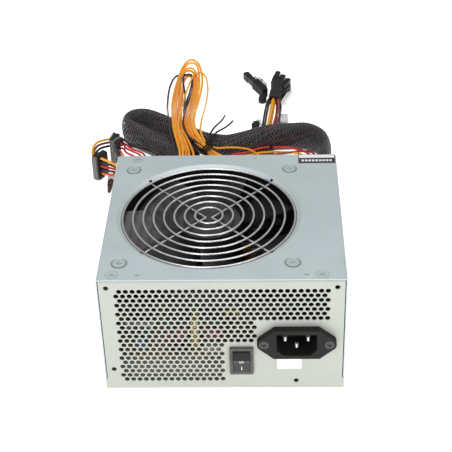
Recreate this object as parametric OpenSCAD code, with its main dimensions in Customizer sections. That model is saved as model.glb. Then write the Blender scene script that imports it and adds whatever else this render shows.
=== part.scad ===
// Standard desktop power supply unit with a 120 mm fan on top, a mains inlet and a rocker switch on the
// perforated panel, and its cables lying behind it.
// Modules draw in case coordinates: x from the left wall, y from the perforated panel, z from the bottom.
// case_frame() then moves the origin to the bottom centre of the unit.

/* [Case] */
// Width of the case
body_w = 150; // [150:1:156]
// Depth of the case, from the perforated panel to the cable wall
body_d = 140; // [140:1:150]
// Height of the case
body_h = 86; // [86:1:90]
// Thickness of the sheet steel
sheet = 0.8; // [0.6:0.1:1]

/* [Perforated panel] */
// Diameter of one vent hole
vent_d = 3.2; // [2.6:0.1:3.3]
// Distance between holes in a row
vent_pitch = 4.03; // [4.03:0.01:4.1]
// Distance between rows
vent_row = 3.49; // [3.49:0.01:3.5]
// Height of the top row
vent_top = 77.35; // [76:0.05:78]

/* [Fan] */
// Left to right place of the fan's axis
fan_x = 65.3; // [64:0.1:68]
// Front to back place of the fan's axis
fan_y = 69.4; // [68:0.1:71]
// Side of the square fan frame
fan_size = 120; // [119:0.5:120]
// Number of blades
blades = 7; // [5:1:9]

/* [Grille] */
// Thickness of the ring wire
wire_d = 1.5; // [1.2:0.1:1.6]
// Radius of the smallest ring
ring_first = 8.9; // [8:0.1:9.5]
// Distance between rings
ring_step = 6.62; // [6.5:0.01:6.65]
// Number of rings
rings = 8; // [6:1:8]

/* [Inlet and switch] */
// Left to right place of the mains inlet
inlet_x = 120; // [118:0.5:121]
// Height of the inlet's centre
inlet_z = 39; // [38:0.5:41]
// Left to right place of the switch
switch_x = 86; // [84:0.5:87]
// Height of the switch's centre
switch_z = 23.4; // [22:0.1:24]
// Angle between the rocker's two faces
rocker_angle = 32; // [28:1:32]

/* [Cables] */
// Diameter of the sleeved main cable
sleeve_d = 17; // [15:0.5:17]
// Diameter of the bundle of loop wires
loop_d = 8; // [7:0.5:8]

/* [Hidden] */
$fn = 48;

// Colours
bare_steel = [0.87, 0.88, 0.85];
cover_steel = [0.72, 0.76, 0.77];
bright_steel = [0.78, 0.79, 0.8];
black_plastic = [0.13, 0.13, 0.14];
grey_plastic = [0.3, 0.3, 0.3];
copper = [0.62, 0.27, 0.17];
brass = [0.78, 0.62, 0.3];
board_tan = [0.62, 0.47, 0.27];
wire_yellow = [0.98, 0.66, 0.1];
wire_red = [0.85, 0.17, 0.2];
clear_white = [0.88, 0.88, 0.85];

// How far the raised half of the rocker and the grommet stand out of the case
front_proud = 5.77;
rear_proud = 2.5;
origin_y = (body_d + rear_proud - front_proud) / 2;

// Case
lip_top = 8.3;            // top of the tray's low side lips
gap = 0.6;                // open seam between the panels and the cover's side walls
inset = sheet + gap;
top_under = body_h - sheet;
bend = 1.6;               // outside radius of the bends
flange = 9;               // depth of the folded edges under the cover
rim_hole = 59;            // fan opening before the pressed rim
rim_inner = 56.3;         // fan opening inside the pressed rim
rim_drop = 1.5;
fan_hole = 52.5;          // half the distance between fan screws
fastener_at = [[9.5, 5.3], [135.1, 4.8], [14.7, 135.2]];
mount_holes = [[6, 80], [144, 80], [6, 16], [120, 6]];
mount_r = 1.6;

// Fan
fan_top = 82.1;
fan_h = 25;
fan_bottom = fan_top - fan_h;
duct_r = 57.5;
tip_r = 56.2;
hub_r = 20.5;
hub_wall = 1.9;
shaft_r = 1.5;
shaft_play = 0.03;
fan_lead_d = 2.2;

// Grille
ring_z = 84.4;
spoke_d = 1.4;
spoke_z = 83;

// Inlet
inlet_proud = 4.8;
cavity_w = 24.7;
cavity_h = 16.4;
cavity_cut = 4.1;
ear_x = 20;

// Switch
pivot_y = 3.55;
rocker_w = 10.2;
rocker_half = rocker_angle / 2;
face_len = 6.53;
tip_u = 7.89;
bezel_w = 14.8;
bezel_h = 21;
bezel_t = 2;
well_h = 17.2;
well_w = 10.8;
body_wall = 1;

// Circuit board
board_z = 12;
board_t = 1.5;
board_top = board_z + board_t;
board_posts = [[12, 21], [138, 21], [12, 126], [138, 126]];
earth_at = [145.5, 47.4];  // stud that earths the case

// Cable outlet
outlet_x = 38;
outlet_z = 30;
outlet_r = 16;
outlet_open = 13.5;

// Routes of the cables, chosen by hand, in case coordinates
main_route = [
    [40.5, 134, 25.8], [40.5, 146, 25.6], [43, 158, 21], [52, 171, 13], [67, 180, 9], [88, 187, 8.7],
    [110, 198, 8.7], [130, 214, 8.7], [144, 236, 8.7], [150, 260, 8.7], [148, 280, 9.2], [138, 292, 11],
    [121, 292, 13.4], [104, 287.6, 14], [86, 283.6, 12.4], [68, 280, 9.4], [52, 284, 8.7], [36, 296, 8.7],
    [20, 309, 8.7], [4, 319, 8.7], [-8, 317, 8.7], [-10, 304, 8.7], [-1, 290, 8.7], [14, 277, 8.7],
    [29, 262, 8.7], [45, 248, 8.7], [57, 238, 8.7]
];
loop_route = [
    [31.5, 134, 36], [31.5, 146, 35.5], [32, 162, 30], [34, 180, 17], [36, 198, 7], [38, 216, 6],
    [39, 231, 11.5], [38.4, 243, 20], [37, 256, 22.9], [35, 270, 22.9], [33, 290, 22.6], [30.5, 304, 21.8],
    [27, 317, 17], [24.5, 334, 8.5], [22.5, 360, 4.2], [22.5, 390, 4.2], [24, 420, 4.2], [33, 441, 4.2],
    [42, 420, 4.2], [41.5, 390, 4.2], [40.5, 362, 4.2], [40, 338, 8.5], [40, 316, 17], [40.5, 296, 22.5],
    [45, 278, 22.9], [52, 269, 21.5], [60, 266, 16], [70, 267, 12], [80, 268.5, 9.8], [91, 270.5, 9.4],
    [100, 271.5, 9.4], [109, 272.4, 8.8], [119, 271.6, 6.6], [127, 266, 5], [129, 257.5, 4.8],
    [124.5, 251.5, 4.8], [119.6, 249, 4.9], [118, 246.2, 5]
];
drive_route = [
    [29, 134, 26], [29, 146, 25.4], [24, 158, 18], [14, 172, 8], [4, 190, 4], [-4, 208, 3.4],
    [-8, 226, 5], [-12, 237, 9], [-20, 243.2, 12], [-26.6, 244.8, 12]
];
drive_link = [[-30.6, 252, 19], [-33.4, 259, 20], [-33.4, 267, 20.4], [-29.5, 273, 20], [-24.4, 274.6, 18.5]];
peripheral_route = [
    [42, 134, 39], [42.5, 146, 38.6], [46, 160, 33], [53, 176, 25], [62, 192, 14.5], [75, 208, 5.5],
    [88, 222, 2.6], [94.5, 236, 2.4], [98, 250, 2.4], [99.5, 266, 2.4], [100, 284, 2.4],
    [101.5, 304, 2.5], [103, 324, 2.8], [105, 344, 3], [107, 360, 3.2]
];

module case_frame() {
    translate([-body_w / 2, -origin_y, 0]) children();
}

// ---------- shared shapes ----------

function unit(v) = v / norm(v);

// Point t of the way from point i to the next one, on a curve through all the points
function curve_point(p, i, t) =
    let (a = p[max(i - 1, 0)], b = p[i], c = p[i + 1], d = p[min(i + 2, len(p) - 1)])
    b + t * ((c - a) / 2 + t * (a - 2.5 * b + 2 * c - 0.5 * d + t * (1.5 * b - 1.5 * c + 0.5 * d - 0.5 * a)));

function smooth(p, steps) = [
    for (i = [0 : len(p) - 2], k = [0 : steps - 1]) curve_point(p, i, k / steps),
    p[len(p) - 1]
];

function ring_points(path, i, r, sides) =
    let (
        along = unit(path[min(i + 1, len(path) - 1)] - path[max(i - 1, 0)]),
        side = unit(cross(along, [0, 0, 1])),
        up = cross(side, along)
    )
    [for (k = [0 : sides - 1]) path[i] + r * (cos(360 * k / sides) * side + sin(360 * k / sides) * up)];

// Round tube along a path that is nowhere vertical
module tube(path, d, sides) {
    n = len(path);
    points = [for (i = [0 : n - 1]) each ring_points(path, i, d / 2, sides)];
    walls = [
        for (i = [0 : n - 2], k = [0 : sides - 1])
            let (a = i * sides + k, b = i * sides + (k + 1) % sides)
            each [[a, b, a + sides], [b, b + sides, a + sides]]
    ];
    caps = [
        [for (k = [sides - 1 : -1 : 0]) k],
        [for (k = [0 : sides - 1]) (n - 1) * sides + k]
    ];
    polyhedron(points, concat(walls, caps));
}

// Draws a flat (x, z) outline as a sheet that lies against the panel, from y down to y - t
module upright(y, t) {
    translate([0, y, 0]) rotate([90, 0, 0]) linear_extrude(t) children();
}

module rounded_rect(w, h, r) {
    square([w - 2 * r, h], center = true);
    square([w, h - 2 * r], center = true);
    for (x = [-1, 1], y = [-1, 1]) translate([x * (w / 2 - r), y * (h / 2 - r)]) circle(r);
}

module block(low, high) {
    translate(low) cube(high - low);
}

// Can standing on the board, with its vent cross cut into the top
module can(x, y, r, h) {
    translate([x, y, board_top + 0.2]) difference() {
        cylinder(r = r, h = h);
        for (a = [0, 90]) rotate(a) translate([-r * 0.6, -0.2, h - 0.3]) cube([r * 1.2, 0.4, 1]);
    }
}

// Screw with its head down from z = 0 and its shank below
module screw(head_r, head_h, shank_r, shank_l) {
    difference() {
        translate([0, 0, -head_h]) cylinder(r = head_r, h = head_h);
        for (a = [0, 90]) rotate(a) translate([-head_r * 0.5, -0.35, -0.6]) cube([head_r, 0.7, 1]);
    }
    translate([0, 0, -head_h - shank_l]) cylinder(r = shank_r, h = shank_l + 0.1);
}

// ---------- case ----------

// Outline of an end panel: full width at the foot, set in from the cover's side walls above it
module panel_outline(top) {
    square([body_w, lip_top]);
    translate([inset, 0]) square([body_w - 2 * inset, top]);
}

// Folded top edge of an end panel, drawn along y at x = 0
module panel_fold() {
    rotate([90, 0, 90]) linear_extrude(body_w - 2 * inset) {
        intersection() {
            difference() {
                translate([bend, top_under - bend]) circle(bend);
                translate([bend, top_under - bend]) circle(bend - sheet);
            }
            translate([0, top_under - bend]) square(bend);
        }
        translate([bend, top_under - sheet]) square([flange - bend, sheet]);
    }
}

module panel_holes() {
    for (row = [0 : 20]) {
        count = row < 7 ? 32 : row < 12 ? 21 : 16;
        start = row % 2 == 0 ? 13.6 : 11.6;
        for (k = [0 : count - 1])
            translate([start + k * vent_pitch, vent_top - row * vent_row]) circle(d = vent_d, $fn = 24);
    }
}

module inlet_cutout() {
    translate([inlet_x, inlet_z]) square([27.4, 20.2], center = true);
}

module rear_panel() {
    color(bare_steel) difference() {
        union() {
            upright(sheet, sheet) difference() {
                panel_outline(top_under - bend);
                panel_holes();
                inlet_cutout();
                translate([switch_x, switch_z]) square([13.2, 19.4], center = true);
            }
            translate([inset, 0, 0]) panel_fold();
            for (x = [inset, body_w - inset - sheet])
                block([x, sheet - 0.1, lip_top + 0.7], [x + sheet, 7, top_under - 3]);
        }
        for (h = mount_holes)
            translate([h[0], -1, h[1]]) rotate([-90, 0, 0]) cylinder(r = mount_r, h = 3, $fn = 32);
        for (s = [-ear_x, ear_x])
            translate([inlet_x + s, -1, inlet_z]) rotate([-90, 0, 0]) cylinder(r = 1.6, h = 3, $fn = 32);
        for (f = [fastener_at[0], fastener_at[1]])
            translate([f[0], f[1], top_under - 3]) cylinder(r = 1.45, h = 5);
    }
}

module cable_wall() {
    color(bare_steel) difference() {
        union() {
            upright(body_d, sheet) difference() {
                panel_outline(top_under - bend);
                translate([outlet_x, outlet_z]) circle(outlet_r);
            }
            translate([body_w - inset, body_d, 0]) rotate(180) panel_fold();
        }
        translate([fastener_at[2][0], fastener_at[2][1], top_under - 3]) cylinder(r = 1.45, h = 5);
    }
}

module base_tray() {
    color(bare_steel) {
        block([0, sheet, 0], [body_w, body_d - sheet, sheet]);
        for (x = [0, body_w - sheet]) block([x, sheet, 0], [x + sheet, body_d - sheet, lip_top]);
    }
}

// Pressed dimple in the cover, with a hole through its floor
module dimple(r, drop, hole_r) {
    rotate_extrude() polygon([
        [r + 0.05, body_h], [r - 1, body_h - drop], [hole_r, body_h - drop],
        [hole_r, top_under - drop], [r - 1, top_under - drop], [r + 0.05, top_under]
    ]);
}

module fan_corners() {
    for (x = [-fan_hole, fan_hole], y = [-fan_hole, fan_hole]) translate([fan_x + x, fan_y + y]) children();
}

module pressed_rim() {
    difference() {
        rotate_extrude($fn = 120) polygon([
            [rim_hole + 0.05, body_h], [rim_inner, body_h - rim_drop],
            [rim_inner, top_under - rim_drop], [rim_hole + 0.05, top_under]
        ]);
        for (a = [45 : 90 : 315]) rotate(a) translate([rim_inner - 1, -1.3, 80]) cube([2.6, 2.6, 10]);
    }
}

module cover_side() {
    block([0, 0.2, lip_top + 0.4], [sheet, body_d - 0.2, top_under - bend + sheet]);
    translate([bend, body_d - 0.2, body_h - bend]) rotate([90, 0, 0]) linear_extrude(body_d - 0.4)
        intersection() {
            difference() {
                circle(bend);
                circle(bend - sheet);
            }
            translate([-bend, 0]) square(bend);
        }
}

module top_cover() {
    color(cover_steel) {
        translate([0, 0, top_under]) linear_extrude(sheet) difference() {
            translate([bend, 0.2]) square([body_w - 2 * bend, body_d - 0.4]);
            translate([fan_x, fan_y]) circle(rim_hole, $fn = 120);
            fan_corners() circle(5.25);
            for (f = fastener_at) translate(f) circle(4);
            for (s = [[24.9, 5.1], [125.6, 4.9], [94.6, 135.5]]) translate(s) square([2.6, 0.9], center = true);
        }
        fan_corners() dimple(5.25, rim_drop, 2.2);
        translate([fan_x, fan_y, 0]) pressed_rim();
        cover_side();
        translate([body_w, 0, 0]) mirror([1, 0, 0]) cover_side();
    }
}

module cover_screws() {
    color(cover_steel) for (f = fastener_at) translate([f[0], f[1], body_h]) screw(3.85, sheet, 1.4, 5);
}

// ---------- fan ----------

module fan_grille() {
    reach = norm([fan_hole, fan_hole]);
    color(bright_steel) translate([fan_x, fan_y, 0]) {
        for (k = [0 : rings - 1])
            translate([0, 0, ring_z]) rotate_extrude($fn = 96)
                translate([ring_first + k * ring_step, 0]) circle(d = wire_d, $fn = 16);
        for (side = [-1, 1], end = [-1, 1]) {
            apex = [side * 1.9, -0.5, spoke_z];
            eyelet = [side * fan_hole, end * fan_hole, spoke_z];
            run = eyelet - apex;
            translate(apex) rotate([0, 0, atan2(run[1], run[0])]) rotate([0, 90, 0])
                cylinder(d = spoke_d, h = norm(run) - 3.1, $fn = 16);
            translate(apex) sphere(d = spoke_d, $fn = 16);
            translate(eyelet) rotate_extrude() translate([3, 0]) circle(d = 1.3, $fn = 16);
        }
    }
}

module fan_screws() {
    color(bright_steel) fan_corners()
        translate([0, 0, body_h + 0.1]) screw(3.95, 1.6, 1.9, 17);
}

module fan_outline() {
    difference() {
        rounded_rect(fan_size, fan_size, 5);
        circle(duct_r, $fn = 120);
        for (x = [-fan_hole, fan_hole], y = [-fan_hole, fan_hole]) translate([x, y]) circle(2.2);
    }
}

module fan_frame() {
    color(black_plastic) translate([fan_x, fan_y, fan_bottom]) {
        linear_extrude(4) fan_outline();
        translate([0, 0, fan_h - 4]) linear_extrude(4) fan_outline();
        difference() {
            cylinder(r = fan_size / 2 - 0.3, h = fan_h, $fn = 120);
            translate([0, 0, -1]) cylinder(r = duct_r, h = fan_h + 2, $fn = 120);
            rotate(206.3) translate([duct_r - 1, -2.5, 4.05]) cube([4, 5, 2.7]);
        }
        cylinder(r = 20, h = 2.5);
        for (a = [25 : 90 : 295]) rotate(a) translate([19, -2.5, 0]) cube([duct_r - 18.5, 5, 3]);
        translate([0, 0, 2.4]) difference() {
            cylinder(r = 4, h = 16);
            translate([0, 0, 0.6]) cylinder(r = 2.6, h = 20);
        }
    }
}

module fan_bearing() {
    color(brass) translate([fan_x, fan_y, fan_bottom + 3.1]) difference() {
        cylinder(r = 2.6, h = 15);
        translate([0, 0, -1]) cylinder(r = shaft_r + shaft_play, h = 20);
    }
}

module fan_shaft() {
    color(bright_steel) translate([fan_x, fan_y, fan_bottom + 3.3]) cylinder(r = shaft_r, h = 18.4);
}

module fan_stator() {
    color(copper) translate([fan_x, fan_y, fan_bottom + 6.5]) difference() {
        union() {
            cylinder(r = 6.5, h = 8);
            for (a = [0 : 90 : 270]) rotate(a) {
                translate([0, -1.5, 1.5]) cube([14, 3, 5]);
                translate([6, -3.8, 0]) cube([6.6, 7.6, 8]);
                intersection() {
                    translate([12, -8, 1]) cube([6, 16, 6]);
                    cylinder(r = 15.3, h = 8);
                }
            }
        }
        translate([0, 0, -1]) cylinder(r = 4.02, h = 12);
    }
}

module fan_circuit_board() {
    color([0.1, 0.35, 0.2]) translate([fan_x, fan_y, fan_bottom + 3.2]) difference() {
        cylinder(r = 17, h = 1.2);
        translate([0, 0, -1]) cylinder(r = 4.1, h = 4);
    }
}

module fan_magnet_ring() {
    color(grey_plastic) translate([fan_x, fan_y, fan_bottom + 6]) difference() {
        cylinder(r = hub_r - hub_wall, h = 14);
        translate([0, 0, -1]) cylinder(r = 15.9, h = 20);
    }
}

// Blade surface: s runs from the hub to the tip, c from the leading edge to the trailing edge
blade_in = hub_r - 1;
blade_rise = 17.5;
function blade_point(s, c, drop) =
    let (
        r = blade_in + s * (tip_r - blade_in),
        a = c * 46 + s * 14 + 3 * sin(180 * c) * s,
        z = fan_top - 1.8 - blade_rise * (0.92 - 0.12 * s) * c - 1.6 * sin(180 * c) - drop
    )
    [r * cos(a), r * sin(a), z];

module blade() {
    spans = 6;
    chords = 6;
    thick = 1.5;
    row = chords + 1;
    layer = (spans + 1) * row;
    points = [
        for (drop = [0, thick], i = [0 : spans], j = [0 : chords]) blade_point(i / spans, j / chords, drop)
    ];
    top = [
        for (i = [0 : spans - 1], j = [0 : chords - 1]) let (a = i * row + j)
            each [[a, a + 1, a + row], [a + 1, a + row + 1, a + row]]
    ];
    under = [for (f = top) [f[0] + layer, f[2] + layer, f[1] + layer]];
    edge = concat(
        [for (j = [0 : chords]) j],
        [for (i = [1 : spans]) i * row + chords],
        [for (j = [chords - 1 : -1 : 0]) spans * row + j],
        [for (i = [spans - 1 : -1 : 1]) i * row]
    );
    rim = [
        for (k = [0 : len(edge) - 1]) let (a = edge[k], b = edge[(k + 1) % len(edge)])
            each [[a, a + layer, b], [b, a + layer, b + layer]]
    ];
    polyhedron(points, concat(top, under, rim));
}

module fan_rotor() {
    color(black_plastic) translate([fan_x, fan_y, 0]) {
        difference() {
            translate([0, 0, fan_bottom + 5.4]) cylinder(r = hub_r, h = fan_h - 6.2);
            translate([0, 0, fan_bottom + 4]) cylinder(r = hub_r - hub_wall, h = fan_h - 6.6);
        }
        translate([0, 0, fan_top - 4.6]) difference() {
            cylinder(r = 3.4, h = 3);
            translate([0, 0, -1]) cylinder(r = shaft_r, h = 2.4);
        }
        for (k = [0 : blades - 1]) rotate(k * 360 / blades) blade();
    }
}

module fan_leads() {
    run = [
        [fan_x - 21, fan_y - 10, 61.3], [fan_x - 34, fan_y - 16.4, 61.7], [fan_x - 48, fan_y - 23.2, 62.2],
        [fan_x - 54.6, fan_y - 26.8, 62.4], [8.2, 36, 63], [7.6, 26, 63.4], [8.6, 16, 63.2], [13, 7.8, 62],
        [24, 7.4, 59], [34, 8.2, 54], [39, 9, 47], [42, 10.4, 40], [44, 12, 32], [45.5, 14.5, 26],
        [46, 17.2, 21]
    ];
    color(black_plastic) tube(smooth(run, 3), fan_lead_d, 8);
}

// ---------- inlet and switch ----------

module inlet_flange() {
    hull() {
        translate([0, 9.5]) square([27.2, 3], center = true);
        translate([0, -9.5]) square([28.2, 3], center = true);
        for (x = [-ear_x, ear_x]) translate([x, 0]) circle(4.35, $fn = 32);
    }
}

module cavity_outline() {
    w = cavity_w / 2;
    h = cavity_h / 2;
    polygon([
        [-w, h], [w, h], [w, cavity_cut - h], [w - cavity_cut, -h], [cavity_cut - w, -h], [-w, cavity_cut - h]
    ]);
}

// Places of the inlet's blades relative to its centre
pin_at = [[-7, 1.85], [7, 1.85], [0, -2.15]];

module inlet_housing() {
    color(grey_plastic) translate([inlet_x, 0, inlet_z]) difference() {
        union() {
            upright(0, inlet_proud) inlet_flange();
            upright(16.5, 16.6) square([27, 19.8], center = true);
        }
        translate([0, 0, -0.15]) upright(12.5, 30) cavity_outline();
        for (p = pin_at) translate([p[0] - 1.02, 0, p[1] - 2.02]) cube([2.04, 30, 4.04]);
        for (x = [-ear_x, ear_x]) translate([x, 0, 0]) rotate([-90, 0, 0]) {
            translate([0, 0, -10]) cylinder(r = 1.6, h = 20, $fn = 32);
            translate([0, 0, -inlet_proud - 0.01]) cylinder(r1 = 3.15, r2 = 1.6, h = 1.6, $fn = 32);
        }
    }
}

module inlet_pins() {
    color(bright_steel) for (k = [0 : 2]) translate([inlet_x + pin_at[k][0], 0, inlet_z + pin_at[k][1]]) {
        tip = k == 2 ? -2.6 : -1.2;
        block([-1, tip + 1, -2], [1, 17.5, 2]);
        translate([-0.6, tip, -1.6]) cube([1.2, 1.1, 3.2]);
        block([-0.4, 17.4, -2.4], [0.4, 24, 2.4]);
    }
}

module inlet_screws() {
    color(bright_steel) for (x = [-ear_x, ear_x])
        translate([inlet_x + x, -inlet_proud, inlet_z]) rotate([90, 0, 0]) {
            difference() {
                translate([0, 0, -1.5]) cylinder(r1 = 1.5, r2 = 3, h = 1.5);
                for (a = [0, 90]) rotate(a) translate([-1.6, -0.35, -0.8]) cube([3.2, 0.7, 1]);
            }
            translate([0, 0, -9]) cylinder(r = 1.45, h = 7.6);
            translate([0, 0, -8.3]) rotate(30) cylinder(r = 3.1, h = 2.4, $fn = 6);
        }
}

module switch_bezel() {
    color(grey_plastic) translate([switch_x, 0, switch_z]) difference() {
        union() {
            upright(0, bezel_t) rounded_rect(bezel_w, bezel_h, 0.8);
            upright(15, 15.1) square([well_w + 2 * body_wall, 19], center = true);
        }
        upright(13.8, 30) square([well_w, well_h], center = true);
        translate([-10, pivot_y, 0]) rotate([0, 90, 0]) cylinder(r = 1.05, h = 20);
        for (z = [-5.4, 5.4]) translate([-2.5, 10, z - 0.45]) cube([5, 10, 0.9]);
    }
}

// Side outline of the rocker in its own frame: x outward, y up
module rocker_profile() {
    valley = tip_u - face_len * sin(rocker_half);
    tip_v = face_len * cos(rocker_half);
    polygon([
        [valley, 0], [tip_u, tip_v], [2.6, 8], [-1, 6.5], [-3.6, 2.4],
        [-3.6, -2.4], [-1, -6.5], [2.6, -8], [tip_u, -tip_v]
    ]);
}

module switch_rocker() {
    color(black_plastic) translate([switch_x, pivot_y, switch_z]) {
        rotate([rocker_half, 0, 0]) translate([rocker_w / 2, 0, 0]) rotate([90, 0, -90])
            linear_extrude(rocker_w) rocker_profile();
        translate([-rocker_w / 2 - 0.9, 0, 0]) rotate([0, 90, 0]) cylinder(r = 1, h = rocker_w + 1.8);
    }
}

module switch_terminals() {
    color(brass) for (z = [-5.4, 5.4]) translate([switch_x, 0, switch_z + z])
        block([-2.4, 12.6, -0.4], [2.4, 23, 0.4]);
}

module mains_leads() {
    live = [[113, 24.4, 41], [110, 28, 42], [102, 30, 41], [94, 29, 36], [88, 26, 31], [86, 23.4, 29]];
    neutral = [[127, 24.4, 41], [124, 30, 44], [112, 35, 44], [100, 36, 38], [92, 37, 28], [90, 38, 15]];
    switched = [[86, 23.4, 18], [84, 27, 19], [81, 30, 18.5], [80, 33, 14.6]];
    color(copper) tube(smooth(live, 4), 2.2, 8);
    color([0.15, 0.3, 0.65]) tube(smooth(neutral, 4), 2.2, 8);
    color(copper) tube(smooth(switched, 3), 2.2, 8);
}

module earth_lead() {
    run = [
        [120, 24.4, 36.8], [121, 28, 33], [127, 31, 27], [136, 33, 22], [143, 35.4, 17], [146.3, 38.6, 12],
        [146.8, 41, 8.6], [146.7, 43, 6.9]
    ];
    color([0.35, 0.6, 0.2]) tube(smooth(run, 4), 2.2, 8);
    color(bright_steel) translate([earth_at[0], earth_at[1], sheet]) {
        cylinder(r = 2.4, h = 3.1);
        translate([0, 0, 3]) cylinder(r = 1.1, h = 2);
    }
}

module voltage_label() {
    color([0.95, 0.95, 0.9]) block([108, -0.15, 16], [123.2, 0, inlet_z - 11.2]);
}

module badge_label() {
    color([0.15, 0.15, 0.16]) block([124, 128.5, body_h], [149, 139.6, body_h + 0.12]);
}

// ---------- electronics ----------

module circuit_board() {
    color(board_tan) difference() {
        block([6, 15, board_z], [144, 132, board_top]);
        for (p = board_posts) translate([p[0], p[1], board_z - 1]) cylinder(r = 1.7, h = 4);
    }
}

module board_standoffs() {
    color(brass) for (p = board_posts) translate([p[0], p[1], sheet]) difference() {
        cylinder(r = 3.2, h = board_z - sheet);
        translate([0, 0, 4]) cylinder(r = 1.5, h = 10);
    }
}

module board_screws() {
    color(bright_steel) for (p = board_posts) translate([p[0], p[1], board_top + 2]) screw(2.9, 2, 1.45, 6);
}

module insulating_sheet() {
    color([0.9, 0.9, 0.86]) difference() {
        block([4, 12, sheet + 0.2], [146, 135, sheet + 0.6]);
        for (p = board_posts) translate([p[0], p[1], 0]) cylinder(r = 3.6, h = 4);
        translate([earth_at[0], earth_at[1], 0]) cylinder(r = 3, h = 4);
    }
}

module fan_header() {
    color(clear_white) difference() {
        block([41, 17.6, board_top], [50.5, 22.4, board_top + 5]);
        block([42, 18.6, board_top + 1], [49.5, 21.4, board_top + 6]);
    }
}

module filter_core() {
    color([0.16, 0.15, 0.15]) difference() {
        block([40, 24.5, board_top + 2], [72, 37.5, board_top + 20]);
        block([48, 20, board_top + 6], [64, 40, board_top + 16]);
    }
}

module filter_windings() {
    for (x = [44, 68]) color(copper) translate([x, 31, board_top + 6.1]) difference() {
        cylinder(r = 8.5, h = 9.8);
        translate([-4.05, -6.55, -1]) cube([8.1, 13.1, 12]);
    }
    color(wire_yellow) difference() {
        block([53.5, 23.5, board_top + 1], [58.5, 38.5, board_top + 21]);
        block([52, 24.45, board_top + 1.95], [60, 37.55, board_top + 6.05]);
        block([52, 24.45, board_top + 15.95], [60, 37.55, board_top + 20.05]);
    }
}

module x_capacitor() {
    color([0.6, 0.6, 0.58]) block([62, 17.5, board_top + 0.1], [76, 21.5, board_top + 5.6]);
}

module y_capacitors() {
    color([0.25, 0.42, 0.7]) for (p = [[21.5, 24], [21.5, 32]])
        translate([p[0], p[1], board_top + 4.45]) rotate([90, 0, 0]) {
            cylinder(r = 4, h = 3);
            for (x = [-2.5, 2.5]) translate([x, -3.4, 1.5]) rotate([90, 0, 0]) cylinder(r = 0.35, h = 1);
        }
}

module fuse() {
    color(bright_steel) for (x = [9, 23]) translate([x, 42, board_top + 4]) rotate([0, 90, 0])
        cylinder(r = 2.6, h = 5);
    color(clear_white) translate([13.5, 42, board_top + 4]) rotate([0, 90, 0]) cylinder(r = 2.3, h = 10);
    color(bright_steel) for (x = [10.5, 24.5]) block([x, 41, board_top], [x + 2, 43, board_top + 2.5]);
}

module bridge_rectifier() {
    color(black_plastic) block([8, 104, board_top + 3], [28, 108, board_top + 18]);
    color(bright_steel) for (x = [10, 15, 20, 25]) block([x, 105.5, board_top], [x + 1.2, 106.5, board_top + 3.1]);
}

module bulk_capacitors() {
    color([0.12, 0.14, 0.2]) for (y = [62, 87]) can(19, y, 11, 38);
}

// Heatsink: an upright plate with fins towards negative x
module heatsink(x, y_from, y_to) {
    block([x, y_from, board_top], [x + 3, y_to, 54]);
    for (y = [y_from : 11 : y_to - 2]) block([x - 7, y, board_top + 10], [x + 0.1, y + 2, 54]);
}

module primary_heatsink() {
    color(bright_steel) heatsink(44, 50, 126);
}

module secondary_heatsink() {
    color(bright_steel) heatsink(100, 54, 122);
}

module power_transistors() {
    color(black_plastic) for (p = [[47, 56], [47, 74], [103, 60], [103, 78], [103, 96]]) {
        block([p[0], p[1], board_top + 5], [p[0] + 4.5, p[1] + 10, board_top + 20]);
        for (k = [0 : 2]) block(
            [p[0] + 1.8, p[1] + 1.8 + 2.6 * k, board_top],
            [p[0] + 2.5, p[1] + 2.8 + 2.6 * k, board_top + 5.1]
        );
    }
}

module transformer_core() {
    color([0.2, 0.19, 0.19]) difference() {
        block([56, 60, board_top + 3], [92, 72, 47]);
        block([60, 59, board_top + 9], [68, 73, 41]);
        block([80, 59, board_top + 9], [88, 73, 41]);
    }
}

module transformer_winding() {
    color([0.85, 0.75, 0.25]) difference() {
        block([60.1, 52, board_top + 9.1], [87.9, 80, 40.9]);
        block([67.9, 59.9, board_top + 8], [80.1, 72.1, 42]);
    }
    color(black_plastic) for (y = [53, 77]) block([64, y, board_top], [84, y + 2, board_top + 9.2]);
}

module standby_transformer() {
    color([0.85, 0.75, 0.25]) block([58, 94, board_top + 4], [78, 110, board_top + 18]);
    color([0.2, 0.19, 0.19]) for (z = [board_top + 1, board_top + 17.9])
        block([60, 96, z], [76, 108, z + 3.1]);
    color(black_plastic) block([60, 96, board_top], [76, 98, board_top + 1.1]);
}

module control_board() {
    color([0.1, 0.35, 0.2]) block([108, 48, board_top], [140, 49.4, board_top + 22]);
    color(black_plastic) block([116, 45.8, board_top + 8], [134, 48.1, board_top + 14]);
}

module output_choke() {
    color([0.75, 0.55, 0.2]) translate([126, 70, board_top + 0.3]) rotate_extrude()
        translate([10, 6.5]) circle(6);
}

module output_capacitors() {
    color([0.1, 0.25, 0.2]) for (p = [[116, 92], [129, 92], [116, 105], [129, 105], [116, 118], [129, 118]])
        can(p[0], p[1], 5, 22);
}

module output_leads() {
    colours = [wire_yellow, wire_red, black_plastic, wire_yellow, black_plastic, wire_red];
    lead = [
        [92, 114, board_top + 1.4], [86, 117, board_top + 7], [76, 120, 27], [64, 123, 30], [52, 126, 30],
        [44, 127.5, 29]
    ];
    for (k = [0 : 5]) color(colours[k])
        translate([k % 3 * 0.8, k % 3 * 2.4, floor(k / 3) * 2.4]) tube(smooth(lead, 3), 2, 8);
}

module cable_grommet() {
    color(black_plastic) translate([outlet_x, body_d, outlet_z]) rotate([-90, 0, 0]) rotate_extrude() polygon([
        [outlet_open + 0.6, rear_proud], [outlet_r + 2.2, rear_proud], [outlet_r + 2.2, 0], [outlet_r, 0],
        [outlet_r, -sheet], [outlet_r + 1, -sheet], [outlet_r, -4.5], [outlet_open, -4.5], [outlet_open, 1.5]
    ]);
}

// ---------- cables ----------

module main_cable() {
    color(black_plastic) tube(smooth(main_route, 3), sleeve_d, 12);
}

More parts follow.
